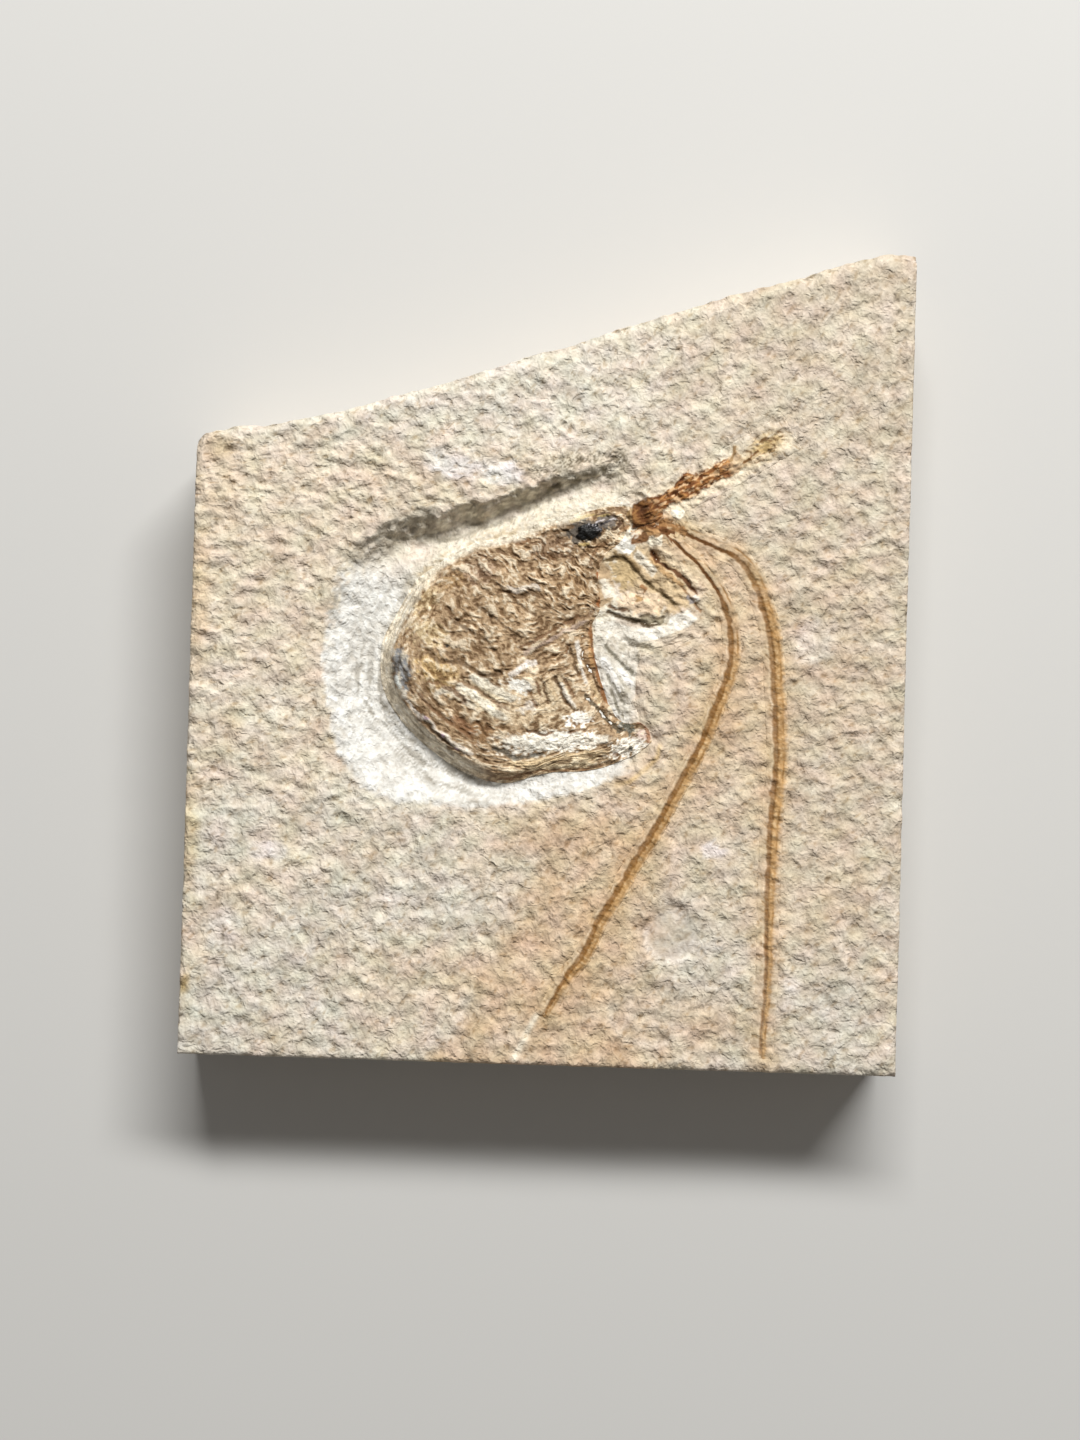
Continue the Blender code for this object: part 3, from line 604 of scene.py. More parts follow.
def split_face_tint(x, y, lip):
    """Colour of the untouched split face: pale on the left, iron-warm to the right and below,
    with violet and ochre stains, golden ground under the antennae, painted shade in the pits
    and in the nicks of the lip, and painted light and shade on the rims of the dishes."""
    colours = coat(ROCK_PALE, x)
    cool = smooth((-y - 0.3 * x - 5.0) / 40.0) * smooth(0.6 + grain(x / 14.0, y / 14.0, 41))
    cool = np.maximum(cool, 0.9 * smooth((y - 26.0) / 10.0) * smooth((30.0 - x) / 30.0))
    colours = paint(colours, ROCK_COOL, cool)
    warm = 0.0 * x
    for at, size, amount in WARM_SPOTS:
        warm = np.maximum(warm, amount * spot(x, y, at, size, 0.0, 1.0))
    side = turned(x + 2.0, y + 34.0, 64.0, 1.0, 1.0)[1] + 2.0 * grain(x / 6.0, y / 6.0, 66)
    band = smooth((1.5 - side) / 3.0) * smooth((-y - 18.0) / 8.0) * smooth((24.0 - x) / 12.0)
    warm = np.maximum(warm, 0.95 * band)
    warm = warm * (0.90 + 0.35 * grain(x / 5.0, y / 5.0, 42)) + 0.14 * layers(x / 6.0, y / 6.0, 43)
    colours = paint(colours, ROCK_WARM, warm)
    dim = smooth((x - 2.0) / 34.0) * (0.35 + 0.65 * smooth((y + 50.0) / 50.0))
    colours = colours * (1.02 - 0.11 * dim)[..., None]
    ragged = 0.8 * grain(x / 2.0, y / 2.0, 48)
    for at, size, amount in OCHRE_SPOTS:
        colours = paint(colours, OCHRE, amount * spot(x + ragged, y + ragged, at, size, 0.0, 0.8))
    ragged = 0.9 * grain(x / 1.9, y / 1.9, 44)
    for at, size, amount in LILAC_SPOTS:
        colours = paint(colours, LILAC, amount * spot(x + ragged, y + ragged, at, size, -10.0, 0.5))
    colours = dish_dust_and_painted_light(colours, x, y)
    for path in (INNER_ANTENNA, OUTER_ANTENNA):
        d, _ = reach(curve(path, 60), x, y)
        colours = paint(colours, FEELER_HALO, 0.62 * np.exp(-((d / 2.7) ** 2)))
    blush, bloom = 0.4 * layers(x / 2.6, y / 2.2, 49), grain(x / 3.6, y / 3.0, 57)
    colours = colours * (1.0 + np.stack([0.05 * blush + 0.03 * bloom, -0.01 * blush - 0.025 * bloom,
                                         -0.10 * blush + 0.02 * bloom], -1))
    groove = stroke(BOTTOM_GROOVE, x + 0.3, y, 0.50, 0.0)
    colours = paint(colours, (0.86, 0.79, 0.66), 0.95 * groove)
    # painted shade in the short pits of the split face
    pit_shadow = dashes(x, y) * smooth((0.4 - lip) / 0.4)
    colours = colours * (1.0 - pit_shadow[..., None] * np.array([0.30, 0.37, 0.46]))
    # painted shade in the nicks along the lip
    colours = paint(colours, (0.19, 0.155, 0.105), 0.92 * frayed(x, y))
    gold_rim = stroke(TAIL_RIM, x + 0.3 * blush, y + 0.3 * bloom, 0.42)
    colours = paint(colours, (0.72, 0.52, 0.26), 0.75 * gold_rim * (0.7 + 0.6 * bloom))
    dotted = smooth((margin_pits(x, y) - 0.05) / 0.3)
    return paint(colours, (0.20, 0.16, 0.11), 0.75 * dotted)


def scraped_tint(colours, x, y, lip, gap, upper, opened, rag):
    """Floor of the trench: chalk and rock dust with scraping scars, rings of ash round the
    shrimp, and cream with threads of soil along its upper side."""
    side = smooth((-y - 0.25 * x - 2.0) / 10.0)
    trench = smooth(lip / 0.8) * (1.0 - opened)
    chalk = trench * (1.0 - 0.75 * upper) * smooth(0.45 + 0.6 * side + 0.25 * (lip - 1.5) + 0.6 * rag)
    colours = paint(colours, CHALK, chalk)
    dust = smooth((grain(x / 1.6, y / 1.2, 59) + 0.6 * grain(x / 0.6, y / 0.5, 60)) / 0.5)
    colours = paint(colours, (0.86, 0.855, 0.84), 0.75 * chalk * dust * (0.25 + 0.75 * side))
    lines = grain(lip / 0.42 + 0.8 * rag, (x - y) / 6.0, 47)
    scars = trench * (1.0 - 0.6 * upper) * smooth((lines - 0.18) / 0.25) * smooth((5.5 - lip) / 3.0)
    colours = paint(colours, ASH, (0.62 - 0.42 * side) * scars)
    arcs = grain(gap / 0.62 + 0.35 * rag, (x - y) / 7.0, 55)
    ringed = trench * (1.0 - upper) * smooth((5.2 - gap) / 2.0) * smooth((-x - 4.0) / 8.0)
    ringed = ringed * (0.45 + 0.55 * smooth((2.0 - y) / 8.0))
    colours = paint(colours, ASH, ringed * (0.05 + 0.90 * smooth((arcs - 0.02) / 0.25)))
    near = 1.3 + 1.6 * smooth((x + 14.0) / 6.0) + 0.4 * rag
    cream = trench * upper * smooth((near - gap) / 0.7)
    thread = grain(*turned(x, y, 27.0, 1.6, 0.42), 58)
    colours = paint(colours, CREAM, cream * (0.70 + 0.85 * thread))
    soil = smooth((2.4 - gap) / 2.0) * smooth((grain(x / 1.3, y / 0.7, 67) + 0.3 * thread + 0.05) / 0.4)
    soil = soil * (0.80 - 0.55 * smooth((x + 8.0) / 8.0))
    colours = paint(colours, (0.52, 0.41, 0.26), cream * soil)
    crumbs = smooth((grain(x / 0.60, y / 0.42, 35) - 0.10) / 0.3)
    colours = paint(colours, (0.60, 0.50, 0.33), 0.42 * cream * crumbs)
    olive = smooth((grain(x / 0.6, y / 0.5, 56) + 0.35 * rag - 0.30) / 0.25) * smooth((3.2 - lip) / 2.0)
    olive = olive * trench * (1.0 - upper) * (1.0 - 0.6 * side)
    return paint(colours, (0.27, 0.24, 0.185), 0.65 * olive)


def wall_tint(colours, x, y, w, lip, upper, opened, rag):
    """Wall of the trench, painted as shade: a darker grey-brown with slanting streaks of painted
    highlight and dark streaks of painted shade, a painted shadow along its foot, and clumps of
    painted shade under the lip at its right end."""
    foot = 0.5 + 0.32 * spot(x, y, (-15.0, 18.0), (7.0, 6.0), 10.0, 0.8)
    wall = smooth(lip / 0.8) * (1.0 - opened) * upper * smooth((foot - w) / 0.2)
    # painted shade: the wall darkened to grey-brown in slanting bands
    stripe = grain((x + 0.3 * y) / 4.0, lip / 0.5 + 0.4 * rag, 50)
    colours = paint(colours, (0.52, 0.48, 0.405), wall * (0.35 + 0.7 * stripe))
    # pale streaks of painted highlight on the shaded wall
    streaks = smooth((grain(*turned(x, y, 22.0, 2.4, 0.50), 38) - 0.02) / 0.30)
    colours = paint(colours, (0.95, 0.90, 0.77), 0.62 * wall * streaks)
    # dark streaks of painted shade
    shade_streaks = smooth((grain(*turned(x, y, 18.0, 1.9, 0.36), 37) - 0.10) / 0.25)
    colours = paint(colours, (0.24, 0.21, 0.165), 0.62 * wall * shade_streaks)
    # more painted shade on the left part of the wall
    colours = paint(colours, (0.33, 0.30, 0.25), 0.45 * wall * smooth((-x - 14.0) / 6.0))
    # painted shadow along the foot of the wall
    crease = stroke(WALL_FOOT, x + 0.4 * rag, y + 0.4 * rag, 0.34)
    colours = paint(colours, (0.27, 0.24, 0.185), 0.62 * crease)
    # painted shade under the lip, in clumps at its right end
    under_lip = wall * smooth((0.42 - w) / 0.12) * smooth((x + 14.0) / 5.0)
    shade_clumps = smooth((grain(x / 1.3, y / 0.8, 64) + 0.25 * rag - 0.05) / 0.35) * smooth((x + 4.0) / 4.0)
    return paint(colours, (0.17, 0.145, 0.095), under_lip * (0.10 + 0.80 * shade_clumps))


def rock_tint(x, y):
    """Colour of the rock: its split face, then what the needle left in the trench, then the wall
    of the trench with its painted shade and highlights.
    """
    _, w, lip, gap, upper, opened = hollow(x, y)
    rag = grain(x / 0.7, y / 0.7, 45) + 0.7 * grain(x / 2.0, y / 2.0, 46)
    colours = split_face_tint(x, y, lip)
    colours = scraped_tint(colours, x, y, lip, gap, upper, opened, rag)
    return wall_tint(colours, x, y, w, lip, upper, opened, rag)


# grid of the face: level rows up to FAN_FROM, then rows that fan out to the broken edge
FAN_FROM = 22.0
FILM_SINK = 0.35
DROPS = np.concatenate([[0.4, 1.0], np.linspace(1.9, 17.4, 15), [FACE_Z]])
xs = spread((X_LEFT, 0.3), (-53.4, 0.5), (-36.0, 0.34), (20.0, 0.47), (53.4, 0.3), (X_RIGHT_LOW, 1))
level = spread((Y_LOW, 0.3), (-61.2, 0.5), (-25.5, 0.34), (FAN_FROM, 1))
share = spread((0.0, 1.0 / 70), (0.985, 0.005), (1.0, 1))[1:] ** 1.2
edge_y = np.interp(xs, *zip(*TOP_EDGE)) + 0.18 * grain(xs / 1.4, xs * 0.0, 51)
rows_y = np.concatenate([np.tile(level, (len(xs), 1)),
                         FAN_FROM + (edge_y[:, None] - FAN_FROM) * share[None, :]], 1)
right = X_RIGHT_LOW + (X_RIGHT_TOP - X_RIGHT_LOW) * (rows_y - Y_LOW) / (Y_TOP - Y_LOW)
rows_x = X_LEFT + (xs[:, None] - X_LEFT) * (right - X_LEFT) / (X_RIGHT_LOW - X_LEFT)
top = np.stack([rows_x, rows_y, face_height(rows_x, rows_y)], -1)
top[..., 2] -= FILM_SINK * under_film(rows_x, rows_y)

# worn arrises: the face falls away over the last part of a millimetre, more at the broken edge
from_top = np.interp(rows_x, *zip(*TOP_EDGE)) - rows_y
broken = smooth((1.1 + 0.6 * grain(rows_x / 2.0, rows_y / 2.0, 52) - from_top) / 1.1)
top[..., 2] -= broken * (0.9 + 0.4 * grain(rows_x / 1.2, rows_y / 1.2, 53))
sides = np.minimum(np.minimum(rows_x - X_LEFT, right - rows_x), rows_y - Y_LOW)
chipped = 0.45 + 0.35 * grain(rows_x / 1.7, rows_y / 1.7, 54)
top[..., 2] -= 0.45 * smooth((chipped - sides) / 0.45)

# side faces: rings of points below the edge of the face, pushed in by bedding and saw marks
lip_points = top.reshape(-1, 3)[edge_loop(*top.shape[:2])]
middle = np.array([0.0, -8.0])
out = lip_points[:, :2] - middle
out /= np.hypot(out[:, 0], out[:, 1])[:, None]
is_broken = smooth((lip_points[:, 1] - np.interp(lip_points[:, 0], *zip(*TOP_EDGE)) + 0.6) / 0.3)
around = lengths(lip_points[:, :2])
rings = []
side_tints = []
for depth in DROPS:
    z = np.maximum(lip_points[:, 2] - depth, 0.0) if depth < FACE_Z else 0.0 * around
    bedding = grain(around / 30.0, z / 1.1 + 5.0, 61)
    rough = is_broken * (0.55 * bedding + 0.35 * layers(around / 3.0, z / 2.0, 62))
    sawn = (1.0 - is_broken) * 0.05 * (bedding + grain(around / 1.5, z / 6.0, 63))
    push = np.minimum(rough + sawn, 0.0) - 0.02
    rings.append(np.column_stack([lip_points[:, :2] + out * push[:, None], z]))
    beds = grain(around / 50.0, z / 1.5 + 3.0, 68) + 0.5 * grain(around / 22.0, z / 0.7, 69)
    side = np.tile(np.array(ROCK_PALE) * 0.96, (len(around), 1))
    if depth < FACE_Z:
        side = paint(side, ROCK_WARM, smooth((beds - 0.05) / 0.5))
        side = paint(side, OCHRE, 0.35 * smooth((beds - 0.45) / 0.3))
        side = side * (1.0 + 0.10 * beds + 0.10 * layers(around / 5.0, z / 3.0, 70))[:, None]
    side_tints.append(side)

limestone = stone("limestone", rough=0.9, pitch=1.15, contrast=0.75, bump_mm=0.47)
trench = hollow(rows_x, rows_y)[2]
dish_at, dish_size = DISHES[0][:2]
grit = 1.0 - 0.10 * smooth(trench) - 0.5 * spot(rows_x, rows_y, dish_at, dish_size, 0.0, 0.15)
plate = solid("limestone_plate", top, rings, limestone, rock_tint(rows_x, rows_y), side_tints, grit)
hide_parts("limestone_slab")

# ---- shrimp shell --------------------------------------------------------------------
# The curled shrimp itself: thin brown, crumpled chitin turned to mineral, lying on its side.
# It grew in one piece with its tail folded under, and the rock still holds its flank.
HIDE, HIDE_DEEP = (0.41, 0.285, 0.17), (0.125, 0.070, 0.030)
GOLD, RUST, UMBER = (0.53, 0.37, 0.175), (0.30, 0.105, 0.028), (0.17, 0.085, 0.035)
SLATE, PEARL, BLUSH = (0.22, 0.22, 0.225), (0.80, 0.76, 0.70), (0.52, 0.41, 0.35)
VIOLET = (0.52, 0.38, 0.47)

# strokes of the shell: half width, rise (mm), colour, cover, path
SHELL_STROKES = [
    (0.28, -0.16, UMBER, 0.85, [(-2.9, 17.2), (-4.4, 16.6), (-6.7, 16.7), (-9.0, 16.3), (-11.3, 16.2),
        (-12.8, 15.8)]),
    (0.24, -0.14, UMBER, 0.70, [(1.0, 13.7), (-0.5, 14.6), (-2.1, 15.1), (-3.6, 14.7)]),
    (0.24, -0.12, UMBER, 0.60, [(1.8, 13.7), (4.0, 14.6), (5.5, 15.4)]),
    (0.38, 0.16, PEARL, 0.45, [(-7.2, 9.9), (-5.3, 9.2), (-3.0, 10.0), (-1.1, 9.3)]),
    (0.32, -0.18, HIDE_DEEP, 0.90, [(-7.2, 8.9), (-5.3, 8.2), (-3.0, 9.0), (-1.1, 8.3)]),
    (0.26, -0.14, HIDE_DEEP, 0.80, [(-11.7, 7.2), (-9.4, 5.8), (-6.3, 3.6), (-3.9, 2.1)]),
    (0.26, -0.14, HIDE_DEEP, 0.80, [(-15.1, 4.8), (-13.1, 3.7), (-10.0, 1.9), (-7.7, 0.1)]),
    (0.24, -0.12, HIDE_DEEP, 0.75, [(-8.8, 10.4), (-6.4, 8.9), (-4.1, 6.7), (-1.8, 5.2)]),
    (0.24, -0.12, HIDE_DEEP, 0.70, [(-1.9, 10.6), (0.4, 9.1), (2.4, 7.3)]),
    (0.26, -0.16, UMBER, 0.85, [(5.1, 6.2), (1.3, 4.2), (-2.4, 1.8), (-5.4, 0.2)]),
    (0.28, 0.12, BLUSH, 0.55, [(6.0, 5.4), (2.2, 3.4), (-1.5, 1.2), (-4.6, -0.6)]),
    (0.24, -0.12, UMBER, 0.70, [(7.3, 7.8), (5.5, 5.9), (2.5, 4.6)]),
    (0.45, 0.10, (0.78, 0.74, 0.70), 0.75, [(-6.2, -3.6), (-4.6, -2.6), (-3.2, -1.5), (-1.6, -1.3)]),
    (0.38, -0.22, HIDE_DEEP, 0.85, [(-18.7, 0.1), (-16.4, -1.7), (-13.7, -1.6)]),
    (0.36, -0.22, HIDE_DEEP, 0.85, [(-14.5, -0.9), (-11.4, -2.7), (-9.1, -3.8), (-6.1, -2.5)]),
    (0.65, 0.12, CREAM, 0.70, [(-12.1, -3.6), (-9.8, -4.6), (-6.7, -6.3), (-4.4, -7.0)]),
    (0.65, 0.14, CREAM, 0.75, [(-14.4, -4.9), (-11.3, -6.3), (-8.2, -8.7), (-5.8, -10.5)]),
    (0.32, -0.16, UMBER, 0.75, [(-13.6, -4.4), (-10.6, -5.6), (-7.6, -7.6), (-5.2, -8.9)]),
    (0.50, 0.12, CREAM, 0.60, [(-17.4, -7.1), (-15.5, -6.0), (-12.8, -6.9), (-10.4, -8.8)]),
    (0.34, -0.18, UMBER, 0.80, [(-18.6, -4.6), (-16.4, -4.9), (-13.8, -6.2), (-11.8, -7.9)]),
    (0.80, -0.10, (0.26, 0.125, 0.06), 0.60, [(-14.6, -9.8), (-12.4, -11.2), (-10.4, -12.4)]),
    (0.32, -0.16, UMBER, 0.80, [(-19.8, -5.8), (-17.8, -8.2), (-14.2, -11.0), (-10.4, -13.4)]),
    (0.40, 0.12, PEARL, 0.60, [(-19.2, -9.3), (-16.8, -11.8), (-13.6, -14.1), (-10.4, -15.6)]),
    (0.30, -0.24, HIDE_DEEP, 0.90, [(-21.4, -7.2), (-20.0, -9.3), (-17.2, -11.9), (-14.1, -14.3),
        (-11.6, -15.7)]),
    (0.30, -0.22, HIDE_DEEP, 0.90, [(-24.0, -4.6), (-22.8, -6.2), (-21.2, -9.0), (-18.6, -11.8),
        (-16.2, -13.9), (-14.4, -15.1), (-12.4, -16.3), (-10.0, -17.6), (-8.0, -18.9)]),
    # a painted glint: a pale blue-grey highlight on the slate patch
    (0.34, 0.12, (0.66, 0.70, 0.69), 0.90, [(-22.9, -4.0), (-22.6, -4.9), (-22.0, -6.0)]),
    (0.30, 0.08, PEARL, 0.60, [(-21.8, -6.3), (-20.6, -8.4), (-18.6, -10.6)]),
    (0.26, 0.05, (0.30, 0.16, 0.07), 0.75, [(11.6, 19.6), (10.4, 18.8), (9.6, 18.2)]),
    (0.32, -0.20, (0.12, 0.105, 0.08), 0.85, [(-8.9, -14.3), (-7.2, -14.6), (-5.8, -15.0), (-4.5, -15.65),
        (-2.2, -15.4), (0.2, -14.7)]),
    (0.75, 0.16, (0.84, 0.80, 0.71), 0.85, [(-7.4, -13.0), (-3.4, -13.4), (1.9, -13.0), (6.6, -12.6),
        (10.6, -12.4)]),
    (0.45, -0.08, (0.20, 0.12, 0.06), 0.75, [(0.4, -15.8), (2.4, -15.9), (4.2, -15.7)]),
    (0.22, -0.16, UMBER, 0.85, [(-3.4, -11.4), (-1.6, -11.75), (-0.3, -12.2), (1.0, -11.5)]),
    (0.20, -0.14, UMBER, 0.75, [(3.0, -11.7), (4.2, -11.5), (6.0, -11.0)]),
    (0.36, 0.16, (0.70, 0.54, 0.33), 0.70, [(-6.2, -16.6), (-1.8, -16.5), (3.0, -15.0), (8.4, -14.4),
        (10.2, -13.9)]),
    (0.24, -0.14, UMBER, 0.85, [(-8.6, -18.7), (-5.4, -18.9), (-3.1, -17.9), (-0.4, -17.4), (2.9, -17.2),
        (5.5, -17.1), (8.1, -16.5), (9.6, -15.9)]),
    (0.26, 0.05, (0.33, 0.17, 0.10), 0.85, [(13.0, -9.6), (14.5, -10.0), (15.2, -11.4), (15.1, -13.2)]),
    (0.34, -0.10, (0.12, 0.12, 0.10), 0.90, [(12.3, -13.4), (13.0, -13.5)]),
    (0.34, -0.12, UMBER, 0.80, [(9.8, -14.5), (10.9, -14.8)]),
    (0.28, -0.24, (0.10, 0.075, 0.045), 0.92, [(5.1, -5.4), (6.5, -7.2), (7.85, -8.15), (8.5, -9.1),
        (9.6, -10.1), (10.9, -11.1), (12.0, -11.3)]),
    (0.50, 0.14, (0.60, 0.46, 0.28), 0.60, [(6.2, -3.4), (6.9, -5.2), (7.9, -7.2)]),
    (0.30, 0.18, (0.26, 0.115, 0.042), 0.92, [(5.9, 5.6), (5.95, 3.7), (6.3, 1.7), (6.6, -0.25),
        (7.1, -2.2), (7.6, -3.6), (8.2, -5.2), (8.8, -6.5), (9.5, -7.8)]),
    (0.24, 0.14, (0.50, 0.29, 0.12), 0.70, [(5.9, 2.6), (6.0, 0.8), (6.2, -0.8), (6.7, -2.2)]),
    (0.22, -0.24, HIDE_DEEP, 0.95, [(4.7, 1.4), (5.0, 0.0), (5.7, -1.5), (6.6, -2.9), (7.2, -4.4),
        (8.0, -6.0)]),
    (0.30, 0.18, PEARL, 0.70, [(4.1, 2.8), (4.2, 1.2), (4.3, 0.0), (4.9, -1.9), (5.4, -3.3),
        (5.9, -4.8)]),
    (0.22, -0.26, HIDE_DEEP, 0.90, [(2.9, 1.8), (3.1, 0.4), (3.6, -0.6), (4.0, -2.0), (4.6, -3.6)]),
    (0.20, -0.22, UMBER, 0.85, [(2.3, 2.0), (2.6, 0.8), (2.8, -0.2)]),
    (0.24, -0.34, HIDE_DEEP, 0.97, [(1.0, -2.8), (1.4, -4.4), (2.15, -6.0), (3.2, -7.6), (4.0, -8.5)]),
    (0.30, 0.18, (0.80, 0.76, 0.68), 0.72, [(1.8, -4.0), (2.1, -4.9), (2.7, -6.0), (3.6, -7.2),
        (4.5, -8.1)]),
    (0.22, -0.22, UMBER, 0.85, [(2.5, -3.4), (3.1, -5.2), (4.0, -6.6)]),
    (0.22, -0.30, HIDE_DEEP, 0.95, [(-1.3, -3.6), (-0.7, -5.1), (-0.3, -6.4), (0.3, -7.8)]),
    (0.20, -0.22, UMBER, 0.85, [(-1.8, -4.0), (-1.35, -5.8), (-0.9, -6.6)]),
    (0.34, 0.12, (0.66, 0.50, 0.31), 0.70, [(0.1, -3.4), (0.6, -5.4), (1.3, -7.2)]),
    (0.24, -0.22, UMBER, 0.70, [(-3.2, -5.2), (-2.4, -6.8), (-1.4, -8.4)]),
    (0.22, -0.14, RUST, 0.75, [(6.9, 12.8), (7.3, 10.4), (7.3, 8.4), (6.9, 7.0)]),
    (0.30, -0.12, UMBER, 0.75, [(8.4, 17.0), (7.0, 16.4), (6.0, 15.0), (5.6, 12.8)]),
    (0.30, 0.14, (0.50, 0.38, 0.16), 0.80, [(2.0, 19.7), (4.0, 20.6), (6.1, 21.0), (8.8, 21.2)]),
    (0.34, -0.14, HIDE_DEEP, 0.80, [(-2.2, 17.6), (0.0, 18.2), (1.8, 18.8), (3.4, 19.2)]),
    (0.24, -0.20, (0.03, 0.025, 0.02), 0.95, [(-15.6, 0.8), (-15.3, 0.9), (-15.0, 0.8)]),
    (0.22, 0.12, VIOLET, 0.85, [(-18.3, -10.0), (-17.7, -10.2)]),
    (0.22, 0.12, VIOLET, 0.80, [(-16.0, -12.5), (-15.4, -12.9)]),
    (0.20, 0.12, VIOLET, 0.80, [(-13.6, -14.4), (-13.0, -14.8)]),
]
# broad tones of the shell: centre, half sizes, turn, colour, cover
SHELL_TONES = [
    ((-3.0, -7.5), (14.0, 6.5), 4.0, (0.62, 0.49, 0.33), 0.80),
    ((-17.7, 2.6), (4.6, 2.6), -25.0, (0.60, 0.47, 0.28), 0.85),
    ((-19.0, 7.4), (4.4, 2.6), 45.0, (0.64, 0.50, 0.30), 0.75),
    ((-16.5, -3.4), (6.0, 3.6), -35.0, GOLD, 0.85),
    ((-11.0, 12.2), (4.2, 3.2), 10.0, (0.45, 0.32, 0.23), 0.70),
    ((-14.6, 10.6), (3.0, 2.0), 20.0, (0.36, 0.22, 0.09), 0.60),
    ((-4.5, -5.0), (4.0, 1.9), -6.0, (0.86, 0.84, 0.78), 0.98),
    ((-2.9, -7.9), (2.2, 1.7), 10.0, (0.56, 0.51, 0.47), 0.70),
    ((-9.5, -6.5), (6.0, 3.2), -30.0, (0.74, 0.64, 0.46), 0.85),
    ((-9.9, -12.0), (3.6, 2.9), -30.0, (0.33, 0.195, 0.095), 0.92),
    ((0.6, -5.6), (4.2, 4.0), 0.0, (0.66, 0.53, 0.36), 0.80),
    ((4.8, -9.6), (3.0, 2.1), 0.0, (0.88, 0.86, 0.82), 1.0),
    ((0.2, -13.2), (11.8, 3.0), 5.0, (0.97, 0.93, 0.84), 1.0),
    ((1.0, -16.4), (12.0, 1.9), 6.0, (0.76, 0.62, 0.41), 0.85),
    ((12.3, -13.6), (4.8, 2.6), 20.0, (0.95, 0.91, 0.83), 1.0),
    ((11.6, -10.7), (3.0, 1.5), -8.0, (0.13, 0.125, 0.095), 0.98),
    ((14.2, -11.6), (1.8, 1.6), 0.0, (0.64, 0.51, 0.45), 0.80),
    ((-22.3, -2.8), (2.9, 6.0), 14.0, SLATE, 1.0),
    ((3.4, 10.0), (4.4, 4.6), 0.0, (0.43, 0.28, 0.15), 0.70),
    ((0.0, 16.2), (6.4, 3.6), 12.0, (0.285, 0.185, 0.11), 0.90),
    ((-11.0, 13.6), (5.0, 2.4), 25.0, (0.33, 0.22, 0.13), 0.75),
    ((9.4, 18.0), (2.8, 2.0), 0.0, (0.74, 0.62, 0.45), 0.85),
]
# stains laid over the creases round the eye; the last, grey one beside it towards the beak
# is painted sheen
EYE_TONES = [
    ((2.6, 18.9), (3.0, 2.2), 15.0, (0.26, 0.20, 0.14), 0.80),
    ((4.6, 18.4), (3.7, 2.6), 15.0, (0.095, 0.08, 0.065), 0.95),
    ((7.8, 20.1), (2.6, 1.5), 12.0, (0.15, 0.13, 0.115), 0.92),
]
EYE_STROKES = [
    (0.22, -0.10, (0.13, 0.075, 0.045), 0.92, [(5.4, 20.5), (6.2, 21.0), (7.2, 21.4), (8.7, 21.2),
        (9.8, 20.5), (10.0, 20.0), (9.3, 19.2), (8.1, 18.5)]),
    (0.26, -0.10, (0.20, 0.12, 0.06), 0.85, [(7.6, 21.8), (9.0, 22.0), (10.3, 21.8), (11.0, 21.0)]),
    # pale grey-violet lines of painted highlight in the sheen beside the eye
    (0.16, 0.08, (0.58, 0.54, 0.55), 0.90, [(6.2, 19.7), (7.0, 20.2), (7.8, 20.3)]),
    (0.16, 0.08, (0.56, 0.53, 0.54), 0.85, [(8.2, 20.0), (8.9, 20.4), (9.2, 20.2)]),
    (0.18, -0.08, (0.05, 0.045, 0.05), 0.90, [(7.0, 19.6), (7.8, 19.8), (8.6, 19.9)]),
    (0.30, 0.14, (0.50, 0.38, 0.16), 0.80, [(3.9, 16.3), (4.6, 16.5), (5.4, 16.9)]),
]


def draw(x, y, strokes, fat=1.0):
    """Rise and colour coats of the strokes on wavering coordinates: each stroke adds
    rise * exp(-(d/width)^2), roughened by slope noise, and its colour covers where that bell
    times the noise passes a threshold. fat multiplies every width."""
    wx = x + 0.30 * grain(x / 1.5, y / 1.5, 71) + 0.10 * grain(x / 0.5, y / 0.5, 72)
    wy = y + 0.30 * grain(x / 1.5, y / 1.5, 73) + 0.10 * grain(x / 0.5, y / 0.5, 74)
    rise, coats = 0.0 * x, []
    gaps = 0.98 + 0.42 * grain(x / 1.2, y / 1.2, 75) + 0.30 * grain(x / 0.4, y / 0.4, 76)
    for width, high, colour, cover, path in strokes:
        bell = stroke(path, wx, wy, fat * width)
        rise = rise + high * bell * (0.6 + 0.4 * gaps)
        coats.append((colour, cover * smooth((bell * gaps - 0.22) / 0.45)))
    return rise, coats


def cover_all(colours, coats):
    """Paint coats of colour and cover one over the other."""
    for colour, cover in coats:
        colours = paint(colours, colour, cover)
    return colours


def stained(colours, x, y, tones, rag, torn, edge, start, ramp=0.4, fade=0.12):
    """Paint broad stains: soft ovals shifted by rag, whose cover begins where the oval plus
    the noise torn passes start, is full a ramp further, and ends with the oval."""
    for at, size, degrees, colour, cover in tones:
        patch = spot(x + rag, y + rag, at, size, degrees, edge)
        ragged = smooth((patch + torn - start) / ramp) * smooth(patch / fade)
        colours = paint(colours, colour, cover * ragged)
    return colours


